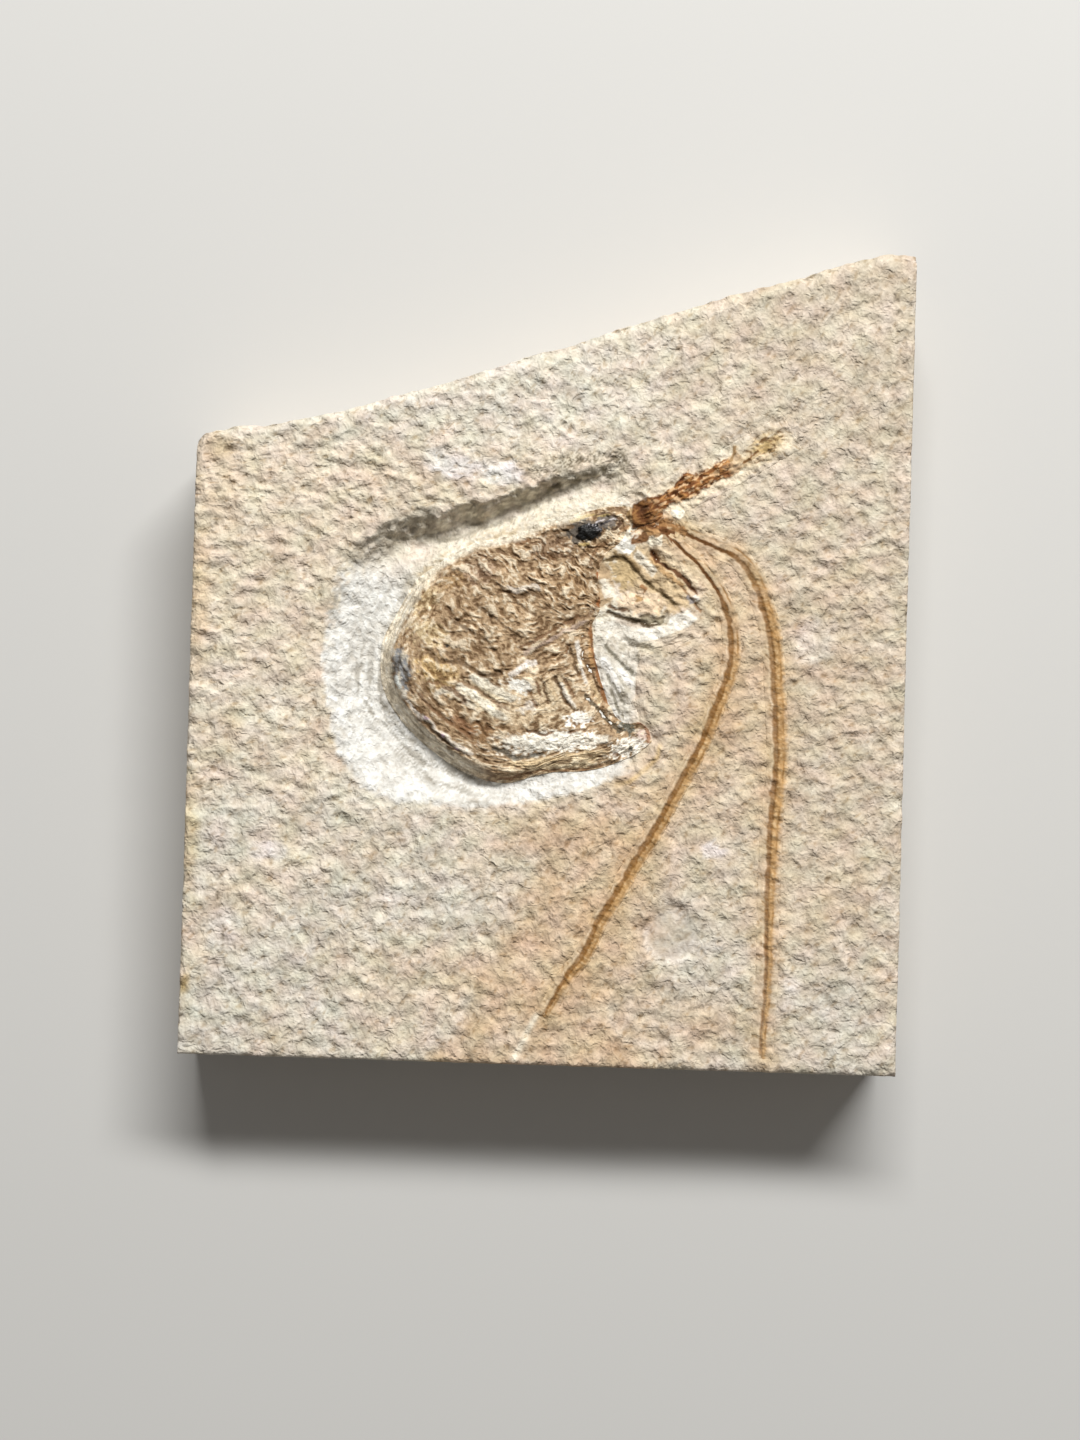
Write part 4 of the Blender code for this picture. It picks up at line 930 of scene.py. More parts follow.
def creases(x, y, along_back, off_back):
    """Crumpled skin, about -1 to 1: folds 1 - |n| of stretched slope noise with thin steps
    over them, in three lays: falling to the right over most of the body, rising to the
    right by the belly, and along the back on the curled tail."""
    bend = 0.8 * grain(x / 3.5, y / 3.5, 81) + 0.35 * grain(x / 1.2, y / 1.2, 82)

    def lay(u, v, seed):
        """Folds, thin steps and fine grain on coordinates along and across the folds."""
        folds = 1.0 - 2.4 * np.abs(grain(u, v, seed) + 0.35 * grain(2.2 * u, 2.0 * v, seed + 1))
        folds = folds * (0.70 + 0.9 * grain(1.1 * u + 7.0, 0.7 * v, seed + 4))
        steps = terrace(1.7 * grain(0.7 * u, 0.75 * v, seed + 2), 0.25)
        return 0.65 * folds + 0.50 * steps + 0.42 * grain(2.3 * u, 1.9 * v, seed + 3)

    level = turned(x + 0.5 * bend, y + bend, -34.0, 1.8, 0.80)
    rising = turned(x - 0.4 * bend, y + bend, 30.0, 2.0, 0.80)
    tail = smooth((8.0 - off_back + bend) / 4.0) * smooth((-x - 1.3 * y + 3.0) / 8.0)
    belly = smooth((x + 7.0) / 4.0) * smooth((7.5 - y) / 3.0) * (1.0 - tail)
    mixed = lay(*level, 83) * (1.0 - belly) * (1.0 - tail) + lay(*rising, 87) * belly
    return mixed + lay(along_back / 2.8, (off_back + 0.5 * bend) / 0.85, 91) * tail


# the body starts BODY_DEEP under the face and swells by BODY_SWELL towards its middle; its rim
# reaches RIM_UNDER into the rock
BODY_DEEP, BODY_SWELL, CREASE_HEIGHT, RIM_UNDER = 0.25, 0.95, 0.105, 0.35


def body_level(x, y):
    """Height of the body without its creases, the rock beneath, the distance in from the
    outline, and the share (0 to 1) of the scraped flank on the lower left. The skin rises
    from the rock over a shoulder and swells to the middle."""
    off = np.maximum(inward(BODY_RING, x, y), 0.0)
    rock = face_height(x, y)
    low = smooth((-x - 1.2 * y - 2.0) / 8.0) * smooth((-x - 7.0) / 7.0)
    rise_in = smooth(off / (1.6 + 0.9 * low + 1.4 * smooth((x - 3.0) / 5.0)))
    body = FACE_Z - BODY_DEEP + BODY_SWELL * smooth(off / 9.0)
    z = (rock + 0.14) * (1.0 - rise_in) + body * rise_in
    return z, rock, off, low


def bed_height(x, y):
    """Rock outside the body, the body's own level inside it."""
    z, rock, off, _ = body_level(x, y)
    return np.where(off > 0.0, z, rock)


# grid of the shell: stations along the back, points across to the belly, closer at both edges
across = np.linspace(0.0, 1.0, SHELL_ACROSS + 1)
across = across - 0.10 * np.sin(2.0 * math.pi * across) / (2.0 * math.pi)
sx, sy = (BACK_LINE[:, None, k] * (1.0 - across) + BELLY_LINE[:, None, k] * across
          for k in (0, 1))
along = np.repeat(lengths(BACK_LINE)[:, None], len(across), 1)
off_back = np.hypot(sx - BACK_LINE[:, :1], sy - BACK_LINE[:, 1:])
shell_z, under, off_edge, low_left = body_level(sx, sy)

# relief: even creases all over, flatter on the lower right, then the strokes and the eye's
crumple = creases(sx, sy, along, off_back)
crumple = (crumple - crumple.mean()) / crumple.std()
crumple = crumple * (1.0 - 0.35 * smooth((sx + 8.0) / 4.0) * smooth((-sy - 1.0) / 3.0))
rise, coats = draw(sx, sy, SHELL_STROKES, 1.1)
eye_rise, eye_coats = draw(sx, sy, EYE_STROKES)
body_in = smooth(off_edge / 1.2)
swell = 0.12 * grain(sx / 3.0, sy / 2.4, 95)
shell_z += body_in * (CREASE_HEIGHT * crumple + swell + rise + eye_rise)
strips = np.sin(off_edge * 7.0 + 1.2 * grain(along / 4.0, off_edge / 1.5, 91))
shell_z += 0.05 * strips * low_left * smooth(off_edge / 0.4) * smooth((3.2 - off_edge) / 0.8)

# colour: broad tones, painted highlights on the crests and painted shade in the pits of the
# creases, the eye's stains and painted sheen, the strokes
hide = coat(HIDE, sx)
rag = 0.5 * grain(sx / 1.1, sy / 1.1, 92) + 0.3 * grain(sx / 0.5, sy / 0.5, 93)
torn = 0.9 * rag + 0.35 * grain(sx / 0.4, sy / 0.4, 99)
hide = stained(hide, sx, sy, SHELL_TONES, rag, torn, edge=1.0, start=0.22)
fleck_and_relief = crumple + 0.9 * grain(sx / 0.55, sy / 0.45, 96) + 0.5 * rag
grey = hide.mean(-1)
light, lit = smooth((grey - 0.42) / 0.22)[..., None], smooth(grey / 0.28)[..., None]
# painted light and shade from the relief: highlights on the crests, shade in the crease pits
crest_highlight, crease_shade = (smooth(v)[..., None] for v in ((fleck_and_relief - 0.30) / 0.95, (-fleck_and_relief - 0.40) / 0.9))
crest_light_colour = (0.35 * hide + np.array([0.60, 0.535, 0.42])) * lit + 0.3 * (1.0 - lit)
hide = hide + (crest_light_colour - hide) * 0.84 * crest_highlight
hide = hide * (1.0 - crease_shade * (0.90 - 0.62 * light) * (1.0 - np.array([0.33, 0.255, 0.175])))
hide = stained(hide, sx, sy, EYE_TONES, 0.6 * rag, 0.8 * torn, edge=0.8, start=0.15)
hide = cover_all(hide, coats + eye_coats)

# the scraped flank on the lower left, and cream dust along the upper back
flank = low_left * smooth((2.3 - off_edge + 0.8 * rag) / 0.8)
scrape = grain(along / 3.2, off_edge / 0.34 + 0.7 * rag, 97) + 0.5 * grain(along / 1.2, off_edge / 0.25, 98)
hide = paint(hide, (0.86, 0.775, 0.63), 0.92 * flank)
hide = paint(hide, (0.28, 0.235, 0.175), 0.52 * flank * smooth((scrape - 0.14) / 0.30))
hide = paint(hide, (0.84, 0.80, 0.72), 0.80 * flank * smooth((-scrape - 0.16) / 0.30))
upper_back = smooth((sy + 0.35 * sx + 1.0) / 8.0) * smooth((1.6 - off_edge + 0.5 * rag) / 1.2)
hide = paint(hide, CREAM, 0.75 * upper_back * smooth((6.0 - sx) / 4.0))
hide = hide * (1.0 + 0.16 * layers(sx / 4.0, sy / 4.0, 94))[..., None]

# the rim of the shell goes down under the rock, so nothing of it floats
shell_top = np.stack([sx, sy, shell_z], -1)
rim = edge_loop(*sx.shape)
rim_points = shell_top.reshape(-1, 3)[rim]
rim_rock = under.reshape(-1)[rim]
shell_rings = [np.column_stack([rim_points[:, :2], rim_rock - RIM_UNDER]),
               np.column_stack([rim_points[:, :2], np.full(len(rim), BURIED_Z)])]
fossil_shell = stone("fossil_shell", rough=0.62, pitch=0.6, contrast=1.1, bump_mm=0.20)
shell = solid("shrimp_shell", shell_top, shell_rings, fossil_shell, hide)
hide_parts("shrimp_body")

# ---- walking legs --------------------------------------------------------------------
# The front limbs lie flat on the bed: two pairs of thin legs and a folded arm with its hand,
# crushed into a film of brown chitin and white rock dust that the needle left round them.
BEAK_BROWN, BEAK_DARK, EMBER = (0.22, 0.085, 0.026), (0.115, 0.040, 0.012), (0.50, 0.25, 0.085)
FRONT_STROKES = [
    (0.62, 0.08, (0.86, 0.80, 0.69), 0.85, [(7.6, 11.8), (7.9, 10.9), (8.6, 9.6), (8.9, 8.4)]),
    (0.95, 0.10, (0.93, 0.905, 0.84), 1.0, [(8.6, 17.8), (9.8, 17.2), (10.9, 16.4), (12.2, 15.5)]),
    (0.60, 0.14, (0.78, 0.73, 0.63), 0.85, [(12.0, 15.6), (13.2, 14.8), (14.7, 13.2), (15.8, 12.2)]),
    (0.75, 0.12, (0.93, 0.87, 0.73), 0.97, [(14.2, 17.2), (15.0, 17.5), (16.4, 17.4)]),
    (0.75, 0.12, (0.85, 0.80, 0.68), 0.92, [(17.3, 22.3), (18.4, 21.8), (19.5, 21.2)]),
    (0.55, 0.12, (0.72, 0.60, 0.44), 0.75, [(15.4, 16.6), (17.2, 15.2), (19.0, 13.6), (20.8, 11.9),
        (22.2, 10.4)]),
    (0.55, 0.10, (0.80, 0.63, 0.46), 0.80, [(9.6, 8.1), (12.0, 7.6), (14.0, 7.2), (16.0, 6.9)]),
    (0.34, 0.14, (0.78, 0.70, 0.56), 0.85, [(11.0, 6.4), (13.0, 5.75), (15.0, 5.4)]),
    (0.31, -0.34, (0.085, 0.058, 0.030), 0.98, [(7.6, 6.7), (8.6, 6.6), (10.3, 5.95), (11.8, 5.6),
        (13.5, 5.05), (15.2, 4.8), (16.4, 5.1), (17.5, 5.4)]),
    (0.22, -0.20, (0.15, 0.085, 0.045), 0.95, [(8.4, 7.5), (10.2, 7.1), (11.9, 6.8)]),
    (0.40, -0.14, (0.28, 0.24, 0.165), 0.90, [(13.2, 5.7), (14.6, 5.45), (16.0, 5.4), (17.2, 5.6)]),
    (0.22, -0.20, (0.16, 0.125, 0.08), 0.95, [(12.8, 6.2), (14.4, 6.1), (15.8, 5.95), (17.5, 5.9)]),
    (0.50, 0.05, (0.28, 0.19, 0.09), 0.85, [(8.8, 15.1), (10.8, 14.9), (12.0, 13.8), (13.2, 12.6)]),
    (0.23, -0.26, (0.12, 0.080, 0.034), 0.98, [(6.9, 13.0), (7.6, 14.0), (8.6, 14.7), (10.3, 14.9),
        (11.2, 14.3), (11.8, 13.6), (13.3, 12.0), (14.75, 10.7), (16.8, 9.5), (18.3, 8.1), (20.3, 8.0)]),
    (0.34, 0.16, (0.56, 0.35, 0.165), 0.80, [(14.4, 15.3), (15.6, 14.0), (17.0, 12.6), (18.6, 11.6),
        (19.9, 10.6)]),
    (0.40, -0.08, (0.19, 0.085, 0.032), 0.92, [(14.4, 16.0), (15.4, 15.0), (16.2, 14.1)]),
    (0.21, -0.28, (0.11, 0.045, 0.016), 0.98, [(13.8, 16.5), (14.6, 15.8), (15.2, 15.2), (16.1, 14.2),
        (17.0, 13.5), (17.9, 13.0), (18.8, 12.5), (19.6, 12.0), (20.3, 11.3), (20.8, 10.6), (21.7, 9.9),
        (22.6, 9.4)]),
    (0.19, -0.16, (0.28, 0.15, 0.07), 0.85, [(18.4, 11.4), (19.7, 10.4), (20.6, 9.3), (21.7, 7.9),
        (22.6, 6.5)]),
    (0.34, -0.10, (0.28, 0.26, 0.27), 0.85, [(20.2, 9.2), (20.8, 8.6), (21.2, 8.0)]),
    (0.32, 0.16, PEARL, 0.95, [(21.2, 9.5), (21.7, 9.0), (22.0, 8.5)]),
    (0.34, -0.06, (0.31, 0.15, 0.06), 0.92, [(13.1, 10.8), (13.9, 10.3), (14.4, 9.7)]),
    (0.38, -0.05, (0.40, 0.23, 0.09), 0.85, [(12.5, 9.1), (13.3, 8.6), (13.0, 8.0)]),
    (0.95, 0.12, (0.34, 0.165, 0.065), 0.97, [(12.2, 19.9), (13.6, 19.9), (15.2, 19.9), (17.0, 20.2)]),
    (0.50, 0.08, (0.44, 0.25, 0.11), 0.90, [(13.4, 19.3), (14.6, 18.8), (16.0, 18.1)]),
    (0.50, 0.10, (0.17, 0.070, 0.025), 0.96, [(15.5, 19.1), (17.0, 18.8), (18.3, 18.8)]),
    (0.22, -0.12, (0.16, 0.065, 0.022), 0.90, [(12.4, 20.4), (13.6, 19.7), (15.0, 19.5), (16.6, 20.0)]),
    (0.36, 0.08, (0.78, 0.62, 0.44), 0.85, [(12.4, 19.0), (13.2, 18.5), (14.2, 17.9)]),
    (0.58, -0.06, (0.19, 0.085, 0.03), 0.96, [(11.6, 17.7), (12.6, 17.3), (13.5, 17.7), (14.2, 18.6)]),
    (0.60, 0.06, (0.30, 0.155, 0.06), 0.95, [(15.4, 20.4), (17.2, 19.9), (18.9, 19.1), (20.7, 18.2)]),
    (0.34, -0.10, (0.16, 0.065, 0.02), 0.96, [(16.0, 19.4), (17.0, 18.6), (17.9, 17.7), (18.9, 16.8)]),
    (0.20, -0.12, (0.27, 0.15, 0.07), 0.90, [(10.2, 18.4), (11.4, 19.3), (12.4, 20.2)]),
    (0.55, 0.05, (0.40, 0.24, 0.11), 0.85, [(11.5, 22.2), (11.7, 21.0), (11.5, 20.0)]),
    (0.24, -0.12, (0.16, 0.145, 0.105), 0.85, [(7.9, 1.9), (9.3, 0.6), (11.4, -1.6), (13.1, -2.9)]),
    (0.50, 0.12, (0.85, 0.84, 0.82), 0.92, [(7.8, 0.4), (8.6, -1.4), (9.7, -3.6), (10.6, -5.8)]),
    (0.22, -0.12, (0.24, 0.22, 0.17), 0.80, [(8.6, -2.4), (9.3, -3.8), (10.6, -5.8), (11.6, -7.6)]),
    (0.20, -0.12, (0.22, 0.20, 0.15), 0.80, [(8.9, -4.6), (9.9, -6.6), (10.9, -8.8)]),
    (0.34, 0.12, (0.84, 0.82, 0.80), 0.85, [(10.6, -1.6), (11.6, -3.2), (12.8, -4.6)]),
]
FRONT_TONES = [
    ((7.7, 10.6), (2.2, 5.4), 8.0, (0.45, 0.32, 0.19), 0.95),
    ((8.4, 16.0), (2.6, 2.0), 30.0, (0.62, 0.49, 0.32), 0.85),
    ((15.0, 11.6), (9.5, 6.4), -35.0, (0.56, 0.42, 0.25), 0.85),
    ((10.8, 12.6), (3.4, 2.4), -40.0, (0.50, 0.375, 0.20), 0.80),
    ((13.6, 8.4), (5.0, 2.2), -6.0, (0.84, 0.67, 0.49), 0.90),
    ((19.6, 18.2), (4.2, 2.6), -35.0, (0.55, 0.42, 0.25), 0.75),
    ((14.0, 19.0), (4.0, 2.2), -12.0, (0.46, 0.29, 0.15), 0.90),
]
# rock dust left beside the arm, and pale threads below it
WEDGE = [(6.4, 5.3), (9.0, 5.2), (12.0, 4.6), (15.0, 4.3), (17.4, 4.9), (17.9, 6.2), (20.4, 7.2),
         (22.0, 6.0), (20.6, 4.7), (18.0, 3.5), (15.0, 2.5), (12.0, 2.0), (9.0, 2.5), (6.6, 3.2)]
THREADS = [(6.4, 3.4), (9.0, 2.6), (13.0, 2.2), (14.2, -1.0), (13.6, -4.2), (12.4, -7.0),
           (12.1, -9.8), (10.0, -8.6), (8.6, -5.8), (7.2, -2.2), (6.6, 1.0)]
# how far a thin film is raised inside its outline, and how far it dips under the rock outside
FILM_LIFT, FILM_DIP = 0.05, 0.30


def set_in(name, px, py, z, inside, tint, material):
    """A thin layer let into the rock: FILM_LIFT over z inside, sinking to FILM_DIP under the
    rock where inside falls to 0, with walls down to a level back."""
    rock = bed_height(px, py)
    z = rock + (z - rock + FILM_LIFT) * inside - FILM_DIP * (1.0 - inside)
    sheet = np.stack([px, py, z], -1)
    wall = sheet.reshape(-1, 3)[edge_loop(*px.shape), :2]
    foot = np.column_stack([wall, np.full(len(wall), BURIED_Z)])
    return solid(name, sheet, [foot], material, tint)


# grid of the limbs: points across from the left edge line to the right one, rows up both
LEG_ACROSS, LEG_UP = 125, 220
across = np.linspace(0.0, 1.0, LEG_ACROSS + 1)[:, None]
left_edge, right_edge = curve(FRONT_LEFT, LEG_UP), curve(FRONT_RIGHT, LEG_UP)
lx, ly = (left_edge[None, :, k] * (1.0 - across) + right_edge[None, :, k] * across for k in (0, 1))
off_rim = inward(FRONT_RING, lx, ly) + 0.2 * grain(lx / 0.9, ly / 0.9, 111)
rise, coats = draw(lx, ly, FRONT_STROKES, 1.25)
leg_z = bed_height(lx, ly) + rise + 0.04 * grain(lx / 0.5, ly / 0.4, 112)
leg_tint = rock_tint(lx, ly)
rag = 0.6 * grain(lx / 1.1, ly / 1.1, 113) + 0.35 * grain(lx / 0.45, ly / 0.45, 114)
threads = smooth((inward(np.array(THREADS), lx + 0.8 * rag, ly + 0.8 * rag) + 0.3) / 0.8)
u, v = turned(lx, ly, -58.0, 3.0, 0.7)
wisps = grain(u, v + 0.6 * rag, 115)
leg_tint = paint(leg_tint, (0.68, 0.645, 0.58), 0.80 * threads)
leg_tint = paint(leg_tint, (0.42, 0.38, 0.30), 0.65 * threads * smooth((wisps - 0.15) / 0.4))
leg_tint = stained(leg_tint, lx, ly, FRONT_TONES, rag, 0.5 * rag, edge=0.8, start=0.1,
                   ramp=0.5, fade=0.15)
dusted = smooth((inward(np.array(WEDGE), lx + 0.4 * rag, ly + 0.4 * rag) + 0.15) / 0.35)
leg_tint = paint(leg_tint, (0.86, 0.83, 0.76), dusted * (0.85 + 0.3 * rag))
leg_tint = cover_all(leg_tint, coats)

# the film ends at the body and leaves the antennae free
limb_stone = stone("limb_stone", rough=0.8, pitch=1.0, contrast=0.85, bump_mm=0.30)
clear = smooth((0.25 - inward(BODY_RING, lx, ly) + 0.15 * rag) / 0.3)
for path in (INNER_ANTENNA, OUTER_ANTENNA):
    clear = clear * smooth((reach(curve(path[2:14], 60), lx, ly)[0] - 0.75) / 0.3)
legs = set_in("walking_legs", lx, ly, leg_z, smooth(off_rim / 0.7) * clear, leg_tint, limb_stone)

# ---- beak ----------------------------------------------------------------------------
# The long toothed beak in front of the eyes: dark rust-brown chitin with frayed edges and a
# side spine, thinning to an ochre tip.
BEAK_TOP = [(11.0, 21.5), (11.6, 22.4), (12.8, 23.3), (14.5, 23.9), (16.2, 24.4), (17.3, 25.3),
            (18.1, 26.2), (18.9, 27.2), (19.7, 28.0), (20.4, 27.5), (21.3, 27.6), (22.1, 28.2),
            (23.3, 28.6), (24.0, 29.3), (24.9, 29.8), (26.0, 30.0), (26.3, 30.7), (26.6, 31.9),
            (27.1, 31.9), (27.2, 30.7), (28.1, 30.2), (29.6, 31.4), (31.2, 32.5), (33.8, 33.8)]
BEAK_LOW = [(34.1, 33.2), (31.3, 31.0), (29.6, 29.9), (28.1, 28.9), (27.3, 28.0), (26.1, 27.3),
            (25.0, 27.0), (23.9, 26.3), (22.7, 25.6), (21.9, 25.3), (21.3, 24.5), (20.5, 24.1),
            (19.4, 23.6), (18.2, 23.1), (17.2, 23.1), (16.8, 22.5), (16.3, 21.7), (16.6, 20.9),
            (15.8, 20.1), (14.4, 19.8), (12.8, 19.3), (11.5, 19.2), (11.8, 20.2), (11.0, 20.8)]
BEAK_STROKES = [
    (0.26, 0.10, (0.30, 0.19, 0.09), 0.95, [(26.2, 29.4), (26.5, 30.6), (26.8, 32.2)]),
    (0.24, -0.08, (0.20, 0.10, 0.035), 0.95, [(27.9, 29.2), (28.7, 29.9), (29.5, 30.8), (30.4, 31.5)]),
    (0.22, -0.08, (0.17, 0.09, 0.035), 0.95, [(30.3, 32.4), (31.2, 32.9), (32.3, 33.0)]),
    (0.22, -0.08, (0.24, 0.14, 0.05), 0.90, [(31.8, 31.1), (32.7, 31.4)]),
    (0.20, -0.06, (0.26, 0.18, 0.08), 0.85, [(32.6, 33.1), (33.8, 33.4)]),
    (0.24, 0.10, (0.80, 0.66, 0.48), 0.90, [(28.9, 29.4), (30.4, 30.3), (32.0, 30.8)]),
    (0.65, 0.05, (0.44, 0.30, 0.155), 0.90, [(11.2, 22.4), (11.0, 21.0), (10.8, 19.8), (11.2, 18.6)]),
    (0.22, -0.10, (0.20, 0.12, 0.05), 0.90, [(9.6, 22.1), (10.8, 21.5), (11.7, 20.6)]),
    (0.50, 0.06, (0.30, 0.155, 0.06), 0.95, [(15.4, 20.4), (17.2, 19.9), (18.9, 19.1), (20.7, 18.2)]),
]


def ribbon(path, half, pitch, cols):
    """Grid along a path: stations at even steps, points across from right to left. Returns
    x, y, the length along and the signed distance from the axis."""
    fine = curve(path, 40 * (len(path) - 1))
    run = lengths(fine)
    at = np.linspace(0.0, run[-1], int(run[-1] / pitch) + 1)
    mid = np.column_stack([np.interp(at, run, fine[:, k]) for k in (0, 1)])
    head = np.gradient(mid, axis=0)
    head /= np.hypot(*head.T)[:, None]
    d = np.linspace(-half, half, cols)[None, :]
    return (mid[:, :1] - head[:, 1:] * d, mid[:, 1:] + head[:, :1] * d,
            at[:, None] + 0.0 * d, d + 0.0 * at[:, None])


def fringe(run, d, half):
    """1 inside a ribbon, falling to 0 near its sides and ends."""
    return smooth((half - np.abs(d)) / 0.45) * smooth(run / 0.5) * smooth((run.max() - run) / 0.5)


# grid of the beak, and how deep each point lies inside its ragged outline
bx, by, run, d = ribbon(BEAK_AXIS, BEAK_HALF, 0.14, 49)
wx = bx + 0.28 * grain(bx / 0.9, by / 0.9, 121) + 0.16 * grain(bx / 0.4, by / 0.4, 122)
wy = by + 0.28 * grain(bx / 0.9, by / 0.9, 123) + 0.16 * grain(bx / 0.4, by / 0.4, 124)
deep_in = inward(np.array(BEAK_TOP + BEAK_LOW), wx, wy)
on = smooth((deep_in + 0.22) / 0.35)
# fibres along the beak, ridged as 1 - |n|; the last part thins out to an ochre tip
fibres = 1.0 - 2.6 * np.abs(grain(run / 2.6, d / 0.62 + 0.4 * grain(run / 1.8, d, 125), 126))
fibres += 0.55 * grain(run / 0.9, d / 0.35, 127)
toward_tip = smooth((run - 17.0 + 1.5 * grain(bx, by, 128)) / 5.0)
body = 0.16 + 0.22 * smooth(deep_in / 0.8) + 0.13 * fibres
beak_z = bed_height(bx, by) + on * body * (1.0 - 0.5 * toward_tip)
beak_tint = rock_tint(bx, by)
below = smooth((0.4 - d) / 0.8)
halo = smooth((deep_in + 0.7 + 0.9 * below) / 0.6) * smooth((run - 5.0) / 1.6) * (0.45 + 0.55 * below)
beak_tint = paint(beak_tint, (0.80, 0.70, 0.54), 0.85 * halo)
brown = coat(BEAK_BROWN, bx)
brown = paint(brown, EMBER, 0.80 * smooth((fibres - 0.25) / 0.7))
brown = paint(brown, BEAK_DARK, 0.85 * smooth((-fibres - 0.1) / 0.7))
brown = paint(brown, BEAK_DARK, 0.7 * smooth((0.45 - deep_in) / 0.4) * smooth((24.0 - run) / 6.0))
sun = grain(run / 1.4, d / 0.5, 130) + 0.4 * grain(run / 0.5, d / 0.35, 131)
brown = paint(brown, (0.74, 0.52, 0.31), 0.88 * smooth((sun - 0.08) / 0.25) * smooth((run - 3.0) / 6.0))
root = smooth((8.0 - run) / 4.0)[..., None]
brown = brown * (1.0 - 0.35 * root)
brown = paint(brown, (0.48, 0.33, 0.14), 0.75 * toward_tip)
brown = paint(brown, BEAK_BROWN, 0.7 * toward_tip * smooth((-fibres + 0.1) / 0.5))
cloud = spot(wx, wy, (31.0, 31.9), (5.2, 2.7), 38.0, 1.0)
beak_tint = paint(beak_tint, (0.55, 0.41, 0.20), 1.1 * cloud * smooth(0.75 + 0.5 * fibres))
bits = smooth((grain(bx / 0.95, by / 0.5, 129) - 0.12) / 0.25) * smooth(cloud / 0.4)
beak_tint = paint(beak_tint, brown, on * (1.0 - 0.72 * toward_tip))
beak_tint = paint(beak_tint, (0.20, 0.11, 0.045), 0.85 * bits * toward_tip)
beak_rise, coats = draw(bx, by, BEAK_STROKES)
beak_z += beak_rise
beak_tint = cover_all(beak_tint, coats)
clear = smooth((0.2 - inward(BODY_RING, bx, by) + 1.2 * on) / 0.3)
beak = set_in("beak", bx, by, beak_z, fringe(run, d, BEAK_HALF) * clear, beak_tint, limb_stone)

# ---- antennae ------------------------------------------------------------------------
# Two long feelers pressed into the bed, stained rust and gold: one dark line with a low
# golden slope beside it and short bristles, the outer one broader and shaggier.
FEELER_BROWN, FEELER_DARK = (0.30, 0.155, 0.046), (0.21, 0.094, 0.018)
FEELER_GOLD = (0.47, 0.275, 0.108)


def feeler(name, path, half, core, shag, lean, bare, full, seed):
    """An antenna by its signed distance d from the axis, in millimetres: a dark line left of
    the axis, a gold slope to its right that fades out, a second thin line that comes and
    goes, and short bristles that fade outwards. half is the half width of the whole ribbon,
    core that of the dark line, shag how far the bristles reach beyond it, lean how far the
    line lies to the left. Over its first bare millimetres it is a plain dark thread, and
    past the share full of its length it narrows to half. seed starts its noise."""
    x, y, run, d = ribbon(path, half, 0.15, 33)
    flat = 0.0 * run
    off = d + 0.14 * grain(run / 2.6, flat, seed) + 0.09 * grain(run / 0.8, flat, seed + 1)
    thin = 1.0 - 0.5 * smooth((run / run.max() - full) / (1.0 - full))
    young = smooth((bare - run) / 5.0)
    lean = lean * (1.0 - young)
    wide = core * thin * (1.0 + 0.45 * grain(run / 1.5, flat, seed + 2)) * (1.0 - 0.5 * young)
    beads = grain(run / 0.42, off / 0.9, seed + 3) + 0.5 * grain(run / 0.25, off / 0.35, seed + 4)
    worn = 0.84 + 0.16 * smooth(0.6 + grain(run / 2.4, flat, seed + 6))
    line = worn * smooth((wide + 0.13 - np.abs(off + lean + 0.05 * beads)) / (0.2 + 0.8 * lean))
    gold = (1.0 - 0.9 * young) * (0.35 + 0.65 * smooth((run - bare) / 9.0)) * smooth((off + 0.15) / 0.3)
    gold = gold * smooth(((1.7 * core + 0.8 * shag + 0.50) * thin + 0.30 * beads - off) / 0.9)
    twin = smooth(0.45 + 1.3 * grain(run / 3.6, flat, seed + 7))
    rail = twin * smooth((0.20 - np.abs(off - (core + 0.50) * thin + 0.06 * beads)) / 0.14)
    slant = grain((run + 0.8 * np.abs(off)) / 0.36, off / 1.4, seed + 5)
    hair = (1.0 - 0.85 * young) * smooth((slant - 0.12) / 0.3)
    hair = hair * smooth((core + 0.5 + shag - np.abs(off)) / (0.5 + 0.6 * shag))
    gleam = smooth((0.16 - np.abs(off + wide + 0.38)) / 0.14) * smooth(0.4 + grain(run / 2.0, flat, seed + 8))
    hair = hair * smooth(0.15 + 1.6 * grain(run / 2.2, off / 2.0, seed + 9))
    tint = paint(rock_tint(x, y), FEELER_BROWN, 0.55 * hair)
    tint = paint(tint, FEELER_GOLD, 0.85 * gold)
    tint = paint(tint, (0.74, 0.55, 0.33), 0.50 * gold * smooth((beads - 0.2) / 0.5))
    tint = paint(tint, FEELER_BROWN, 0.50 * gold * smooth((-beads - 0.1) / 0.5))
    # painted highlight: a pale line along the left side of the dark line
    tint = paint(tint, (0.80, 0.66, 0.50), 0.6 * gleam)
    tint = paint(tint, FEELER_BROWN, 0.80 * rail)
    dark = np.clip(0.96 - 0.7 * lean - 0.15 * beads, 0.0, 0.97)
    tint = paint(tint, FEELER_DARK, dark * line)
    tint = paint(tint, (0.115, 0.045, 0.010), 0.92 * young * line)
    skin = rock_skin(x, y)
    z = bed_height(x, y) - 0.45 * (skin - skin.mean()) * smooth((1.6 - np.abs(off)) / 0.6)
    z += gold * (0.12 + 0.04 * beads) - 0.10 * line - 0.06 * rail
    return set_in(name, x, y, z, fringe(run, d, half), tint, feeler_stain)


feeler_stain = stone("feeler_stain", rough=0.8, pitch=0.8, contrast=0.7, bump_mm=0.14)
inner = feeler("inner_feeler", INNER_ANTENNA, ANTENNA_HALF[0],
               core=0.42, shag=0.55, lean=0.10, bare=16.0, full=0.84, seed=500)
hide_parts("inner_antenna")
outer = feeler("outer_feeler", OUTER_ANTENNA, ANTENNA_HALF[1],
               core=0.46, shag=0.65, lean=0.20, bare=13.5, full=0.5, seed=520)
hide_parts("outer_antenna")
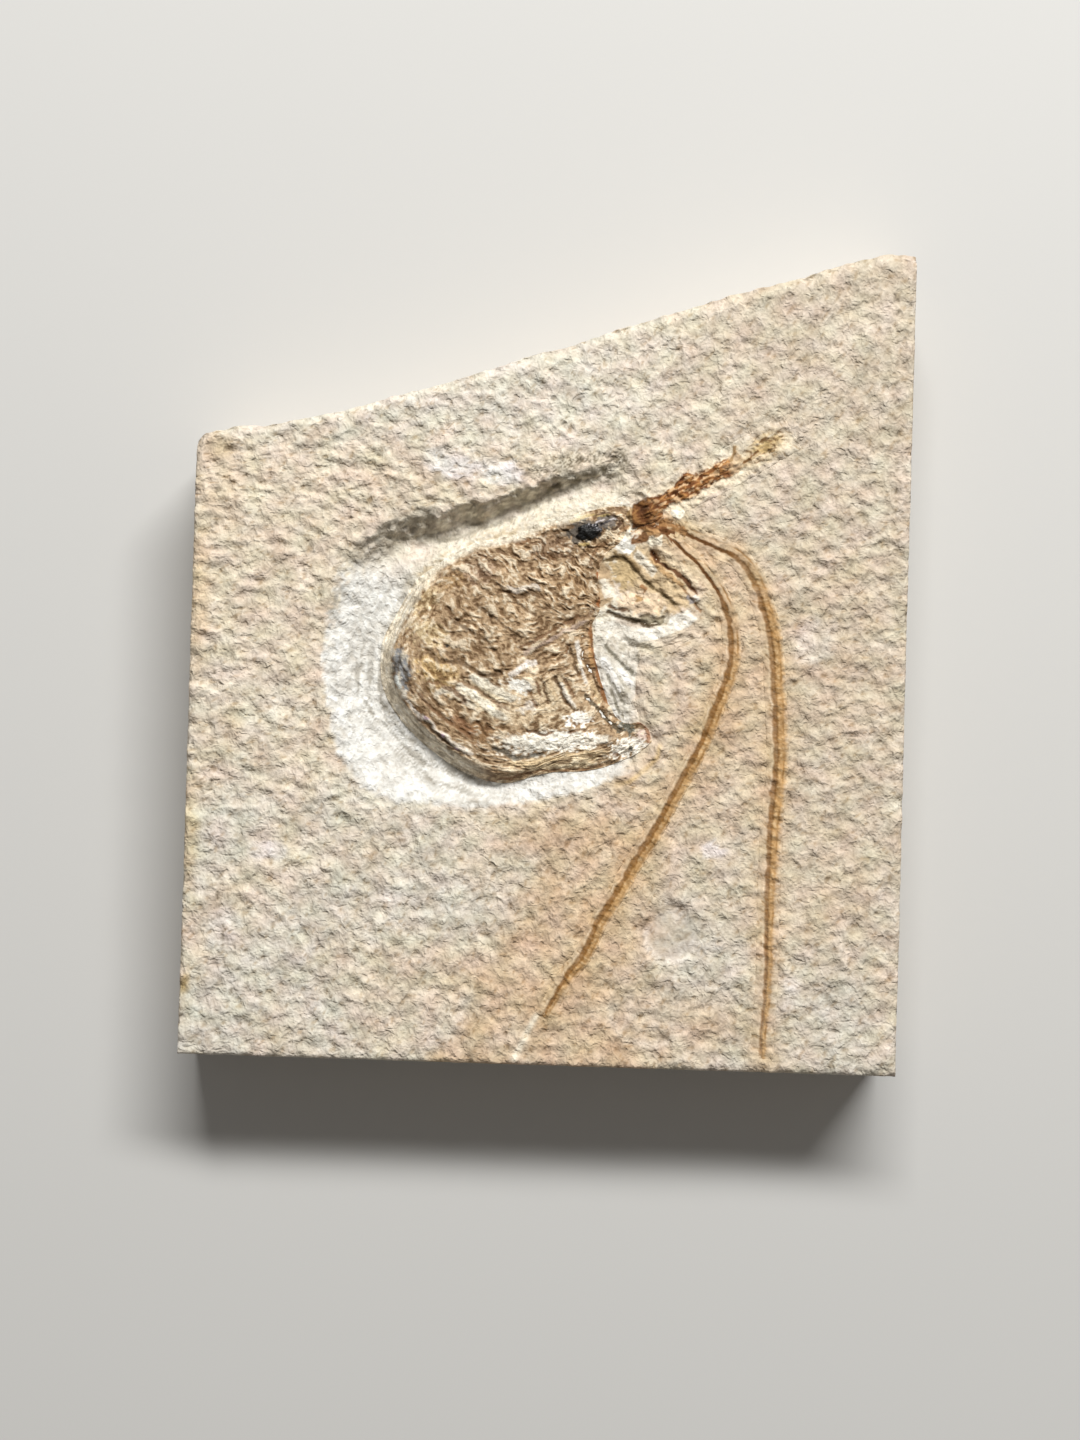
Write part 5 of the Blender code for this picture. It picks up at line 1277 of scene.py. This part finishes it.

# ---- eye -----------------------------------------------------------------------------
# The eye has turned into a squashed bead of black mineral. It sits in its pit in the head,
# and the side towards the beak is painted with a greyish violet sheen and pale specks of
# painted highlight.


def ball(name, grid, material, tint):
    """Closed ball: grid rows run from the top round to the bottom, columns go round; the
    first and last rows are rings closed by one flat face each."""
    index = np.arange(grid.shape[0] * grid.shape[1]).reshape(grid.shape[:2])
    beside = np.roll(index, -1, axis=1)
    quads = np.stack([index[:-1], index[1:], beside[1:], beside[:-1]], -1).reshape(-1, 4)
    full = np.concatenate([tint.reshape(-1, 3), np.ones((index.size, 1))], 1)
    return piece_of(name, grid.reshape(-1, 3), quads, [index[0], index[-1, ::-1]], full, material)


EYE_AT, EYE_Z, EYE_HALF, EYE_TURN = (5.35, 18.6), FACE_Z + 0.30, (1.75, 1.15, 0.42), 15.0
# grid of the bead: rings from top to bottom, points round, with two sizes of knobs
lat = np.linspace(0.0, math.pi, 49)[1:-1, None]
lon = np.linspace(0.0, 2.0 * math.pi, 97)[None, :-1]
bead = np.stack([np.sin(lat) * np.cos(lon), np.sin(lat) * np.sin(lon), np.cos(lat) + 0.0 * lon], -1)
knobs = (1.0 + 0.40 * grain(bead[..., 0] * 1.9 + bead[..., 2], bead[..., 1] * 1.9, 701)
         + 0.14 * grain(bead[..., 0] * 4.0, bead[..., 1] * 4.4 + bead[..., 2], 703))
bead = bead * knobs[..., None] * np.array(EYE_HALF)
ex, ey = turned(bead[..., 0], bead[..., 1], -EYE_TURN, 1.0, 1.0)
ex, ey, ez = ex + EYE_AT[0], ey + EYE_AT[1], bead[..., 2] + EYE_Z
# painted sheen on the side towards the beak, with pale specks of painted highlight
sheen = smooth((bead[..., 0] * 0.8 + bead[..., 1] + 0.5 * grain(ex / 0.4, ey / 0.4, 702)) / 1.2)
highlight_speck = grain(ex / 0.30, ey / 0.26, 704)
eye_tint = paint(np.full(ex.shape + (3,), 0.008), (0.10, 0.095, 0.105), sheen * smooth(0.5 + highlight_speck))
eye_tint = paint(eye_tint, (0.42, 0.40, 0.42), 0.8 * sheen * smooth((highlight_speck - 0.3) / 0.3))
dark_mineral = stone("dark_mineral", rough=0.45, pitch=0.4, contrast=1.2, bump_mm=0.12)
eye = ball("eye_bead", np.stack([ex, ey, ez], -1), dark_mineral, eye_tint)
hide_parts("eye")
